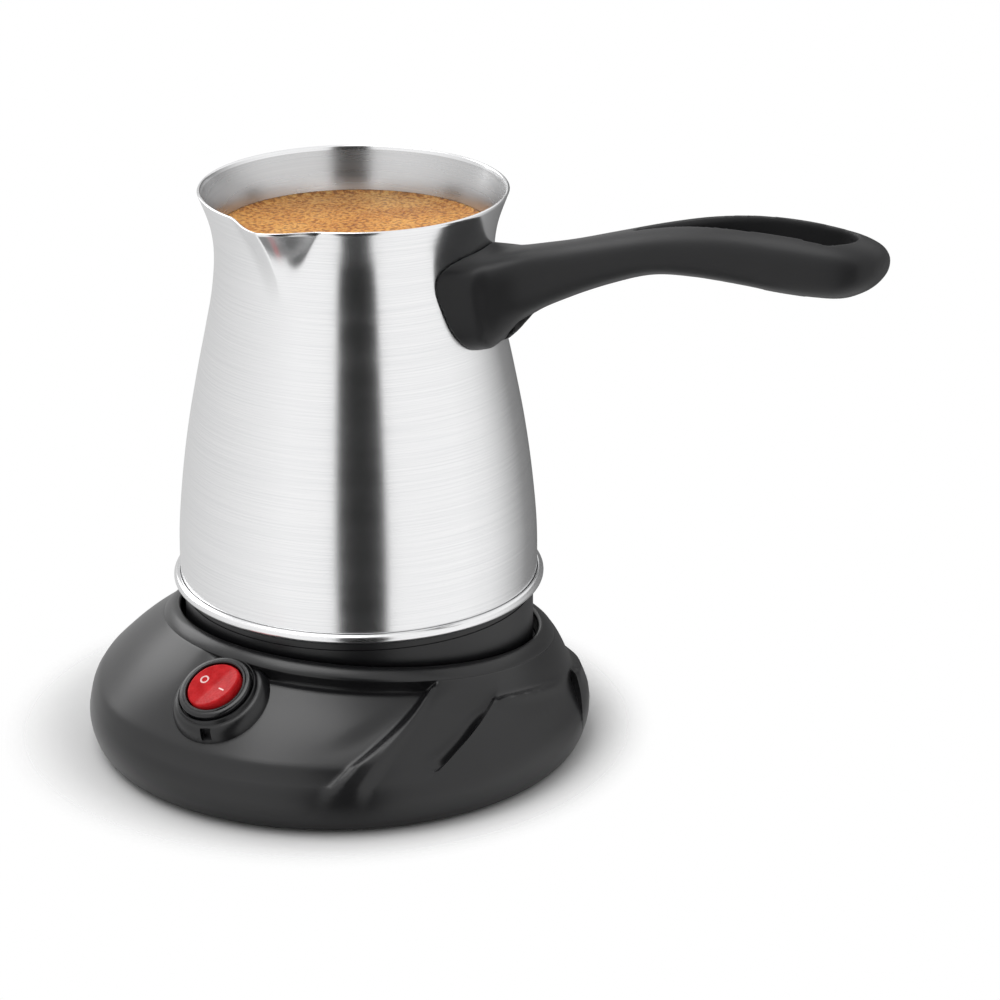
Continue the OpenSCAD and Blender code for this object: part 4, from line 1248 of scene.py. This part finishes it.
@dataclass(frozen=True)
class Screen:
    """A curved screen round the set, off camera, that shapes what the steel mirrors.

    Bearings are in degrees from the camera's own, positive to its right.
    """

    name: str
    start: float
    end: float
    low: float
    high: float
    tones: tuple[Point, ...]
    radius: float = 1.3
    cuts: int = 23

    def build(self, turn: float) -> None:
        """Bends the screen round the set.

        Args:
            turn: the camera's turn about the vertical, in degrees.
        """
        Bench.clear()
        bpy.ops.mesh.primitive_plane_add(size=1.0)
        panel = bpy.context.object
        panel.name = panel.data.name = self.name
        bpy.ops.object.mode_set(mode="EDIT")
        bpy.ops.mesh.subdivide(number_cuts=self.cuts)
        mesh = bmesh.from_edit_mesh(panel.data)
        for vert in mesh.verts:
            bearing = self.start + (self.end - self.start) * (vert.co.x + 0.5)
            height = self.low + (self.high - self.low) * (vert.co.y + 0.5)
            angle = math.radians(bearing + turn - 90)
            vert.co = (self.radius * math.cos(angle), self.radius * math.sin(angle), height)
        bmesh.update_edit_mesh(panel.data)
        bpy.ops.mesh.faces_shade_smooth()
        bpy.ops.object.mode_set(mode="OBJECT")
        tree = Tree(self.name)
        stops = [(share, (tone, tone, tone)) for share, tone in self.tones]
        tree.join(tree.colours(tree.part(tree.coordinates["UV"], "X"), stops),
                  tree.shader.inputs["Emission Color"])
        tree.set(Base_Color=(0.0, 0.0, 0.0, 1.0), Emission_Strength=1.0, Roughness=0.9,
                 Specular_IOR_Level=0.0)
        panel.data.materials.append(tree.material)
        panel.visible_camera = False
        panel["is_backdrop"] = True


@dataclass(frozen=True)
class Studio:
    """Camera, floor, screens, lamps and a plain world. Bearings as for the screens."""

    camera_place: tuple[float, float, float] = (0.4626, -0.7548, 0.4056)
    camera_turn: tuple[float, float, float] = (68.73, 0.0, 29.13)
    lens: float = 132.2
    floor_tone: float = 0.72
    even: float = 0.72
    lamp_distance: float = 1.1
    floor_middle: Point = (-0.0065, -0.0065)
    painted_halo_fade: Point = (0.0665, 0.087)
    screens: tuple[Screen, ...] = (
        Screen("screen_camera", -11.5, 19.5, -3.4, 1.7, ((0.0, 0.015), (1.0, 0.015))),
        Screen("screen_right", 72.0, 178.0, -1.3, 0.7,
               ((0.0, 1.0), (0.19, 0.90), (0.30, 0.76), (0.43, 0.54), (0.60, 0.27), (0.9, 0.17))),
        Screen("screen_left", -178.0, -44.0, -1.3, 0.7,
               ((0.0, 0.60), (0.15, 0.64), (0.46, 0.75), (0.65, 0.83), (0.80, 0.90), (1.0, 1.0))),
    )

    def set_camera(self) -> None:
        """Adds the camera."""
        data = bpy.data.cameras.new("camera")
        data.lens = self.lens
        data.sensor_width = 36.0
        data.clip_start, data.clip_end = 0.01, 20.0
        camera = bpy.data.objects.new("camera", data)
        camera.location = self.camera_place
        camera.rotation_euler = tuple(math.radians(a) for a in self.camera_turn)
        bpy.context.scene.collection.objects.link(camera)
        bpy.context.scene.camera = camera

    def set_floor(self) -> None:
        """Adds a pale grey floor disc that fades into the background close round the base: a
        painted shadow halo over the floor's real shadow.
        """
        Bench.clear()
        bpy.ops.mesh.primitive_circle_add(vertices=96, radius=1.6, fill_type="NGON")
        floor = bpy.context.object
        floor.name = floor.data.name = "studio_floor"
        floor.location = (*self.floor_middle, 0.0)
        tree = Tree("studio_floor")
        t = self.floor_tone
        cloud = tree.noise(6.0, 2.0)
        tree.join(tree.colours(cloud, [(0.2, (t, t, t)), (0.8, (t * 1.01, t * 1.01, t * 1.01))]),
                  tree.shader.inputs["Base Color"])
        tree.set(Roughness=0.9, Specular_IOR_Level=0.0)
        distance = tree.nodes.new("ShaderNodeVectorMath")
        distance.operation = "LENGTH"
        tree.join(tree.place, distance.inputs[0])
        # Painted shadow: the grey floor shows only close round the base and fades out, as a halo.
        fade = tree.spread(distance.outputs["Value"], span=self.painted_halo_fade, smooth=True)
        clear = tree.nodes.new("ShaderNodeBsdfTransparent")
        blend = tree.nodes.new("ShaderNodeMixShader")
        for i, source in enumerate((fade, tree.shader.outputs[0], clear.outputs[0])):
            tree.join(source, blend.inputs[i])
        tree.join(blend.outputs[0], tree.nodes["Material Output"].inputs["Surface"])
        floor.data.materials.append(tree.material)
        floor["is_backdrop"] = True

    def set_world(self) -> None:
        """Adds a plain world: white where seen, mirrored or seen through, softer as light."""
        world = bpy.data.worlds.new("surroundings")
        bpy.context.scene.world = world
        world.use_nodes = True
        nodes, links = world.node_tree.nodes, world.node_tree.links
        light = nodes["Background"]
        light.inputs["Color"].default_value = (1.0, 1.0, 1.0, 1.0)
        light.inputs["Strength"].default_value = self.even
        white = nodes.new("ShaderNodeBackground")
        path = nodes.new("ShaderNodeLightPath").outputs
        seen = path["Is Camera Ray"]
        for kind in ("Is Glossy Ray", "Is Transmission Ray"):
            either = nodes.new("ShaderNodeMath")
            either.operation = "MAXIMUM"
            links.new(seen, either.inputs[0])
            links.new(path[kind], either.inputs[1])
            seen = either.outputs[0]
        white.inputs["Color"].default_value = (1.0, 1.0, 1.0, 1.0)
        blend = nodes.new("ShaderNodeMixShader")
        for i, source in enumerate((seen, light.outputs[0], white.outputs[0])):
            links.new(source, blend.inputs[i])
        links.new(blend.outputs[0], nodes["World Output"].inputs["Surface"])

    def add_lamp(self, name: str, bearing: float, rise: float, size: float,
                 level: float) -> None:
        """Adds a square soft lamp aimed at the coffee maker.

        Args:
            name: its name.
            bearing: its bearing in degrees.
            rise: its height over the horizon in degrees.
            size: its side in metres.
            level: how bright its face is, where 1 is white.
        """
        data = bpy.data.lights.new(name, "AREA")
        data.shape, data.size, data.energy = "SQUARE", size, level * math.pi * size ** 2
        lamp = bpy.data.objects.new(name, data)
        a, e = math.radians(bearing + self.camera_turn[2] - 90), math.radians(rise)
        away = Vector((math.cos(a) * math.cos(e), math.sin(a) * math.cos(e), math.sin(e)))
        lamp.location = away * self.lamp_distance + Vector((0.0, 0.0, 0.05))
        lamp.rotation_euler = (-away).to_track_quat("-Z", "Y").to_euler()
        lamp.visible_camera = False
        bpy.context.scene.collection.objects.link(lamp)

    def build(self) -> None:
        """Sets up the whole studio."""
        bpy.context.scene.view_settings.view_transform = "Standard"
        self.set_camera()
        self.set_floor()
        self.set_world()
        for screen in self.screens:
            screen.build(self.camera_turn[2])
        self.add_lamp("soft_top", -80.0, 74.0, 0.66, 3.0)
        self.add_lamp("soft_side", -134.0, 30.0, 0.60, 2.2)
        LOG.info("studio ready")


def main() -> tuple[list[float], list[float]]:
    """Builds the whole scene.

    Returns:
        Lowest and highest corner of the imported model.
    """
    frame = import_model()
    low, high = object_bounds()
    Studio().build()
    FrameDress().apply(frame["nodes"])
    for group in (Pot(), Skirt(), Handle(), Base(), Switch()):
        group.build()
    Bench.clear()
    plain = [o.name for o in bpy.context.scene.objects if o.type == "MESH"
             and not all(m and Tree.ENDING in m.name for m in o.data.materials[:] or [None])]
    if plain:
        raise RuntimeError(f"no finish on {', '.join(plain)}")
    return list(low), list(high)


if __name__ == "__main__":
    logging.basicConfig(level=logging.INFO, format="%(message)s", stream=sys.stdout)
    cad_box = main()
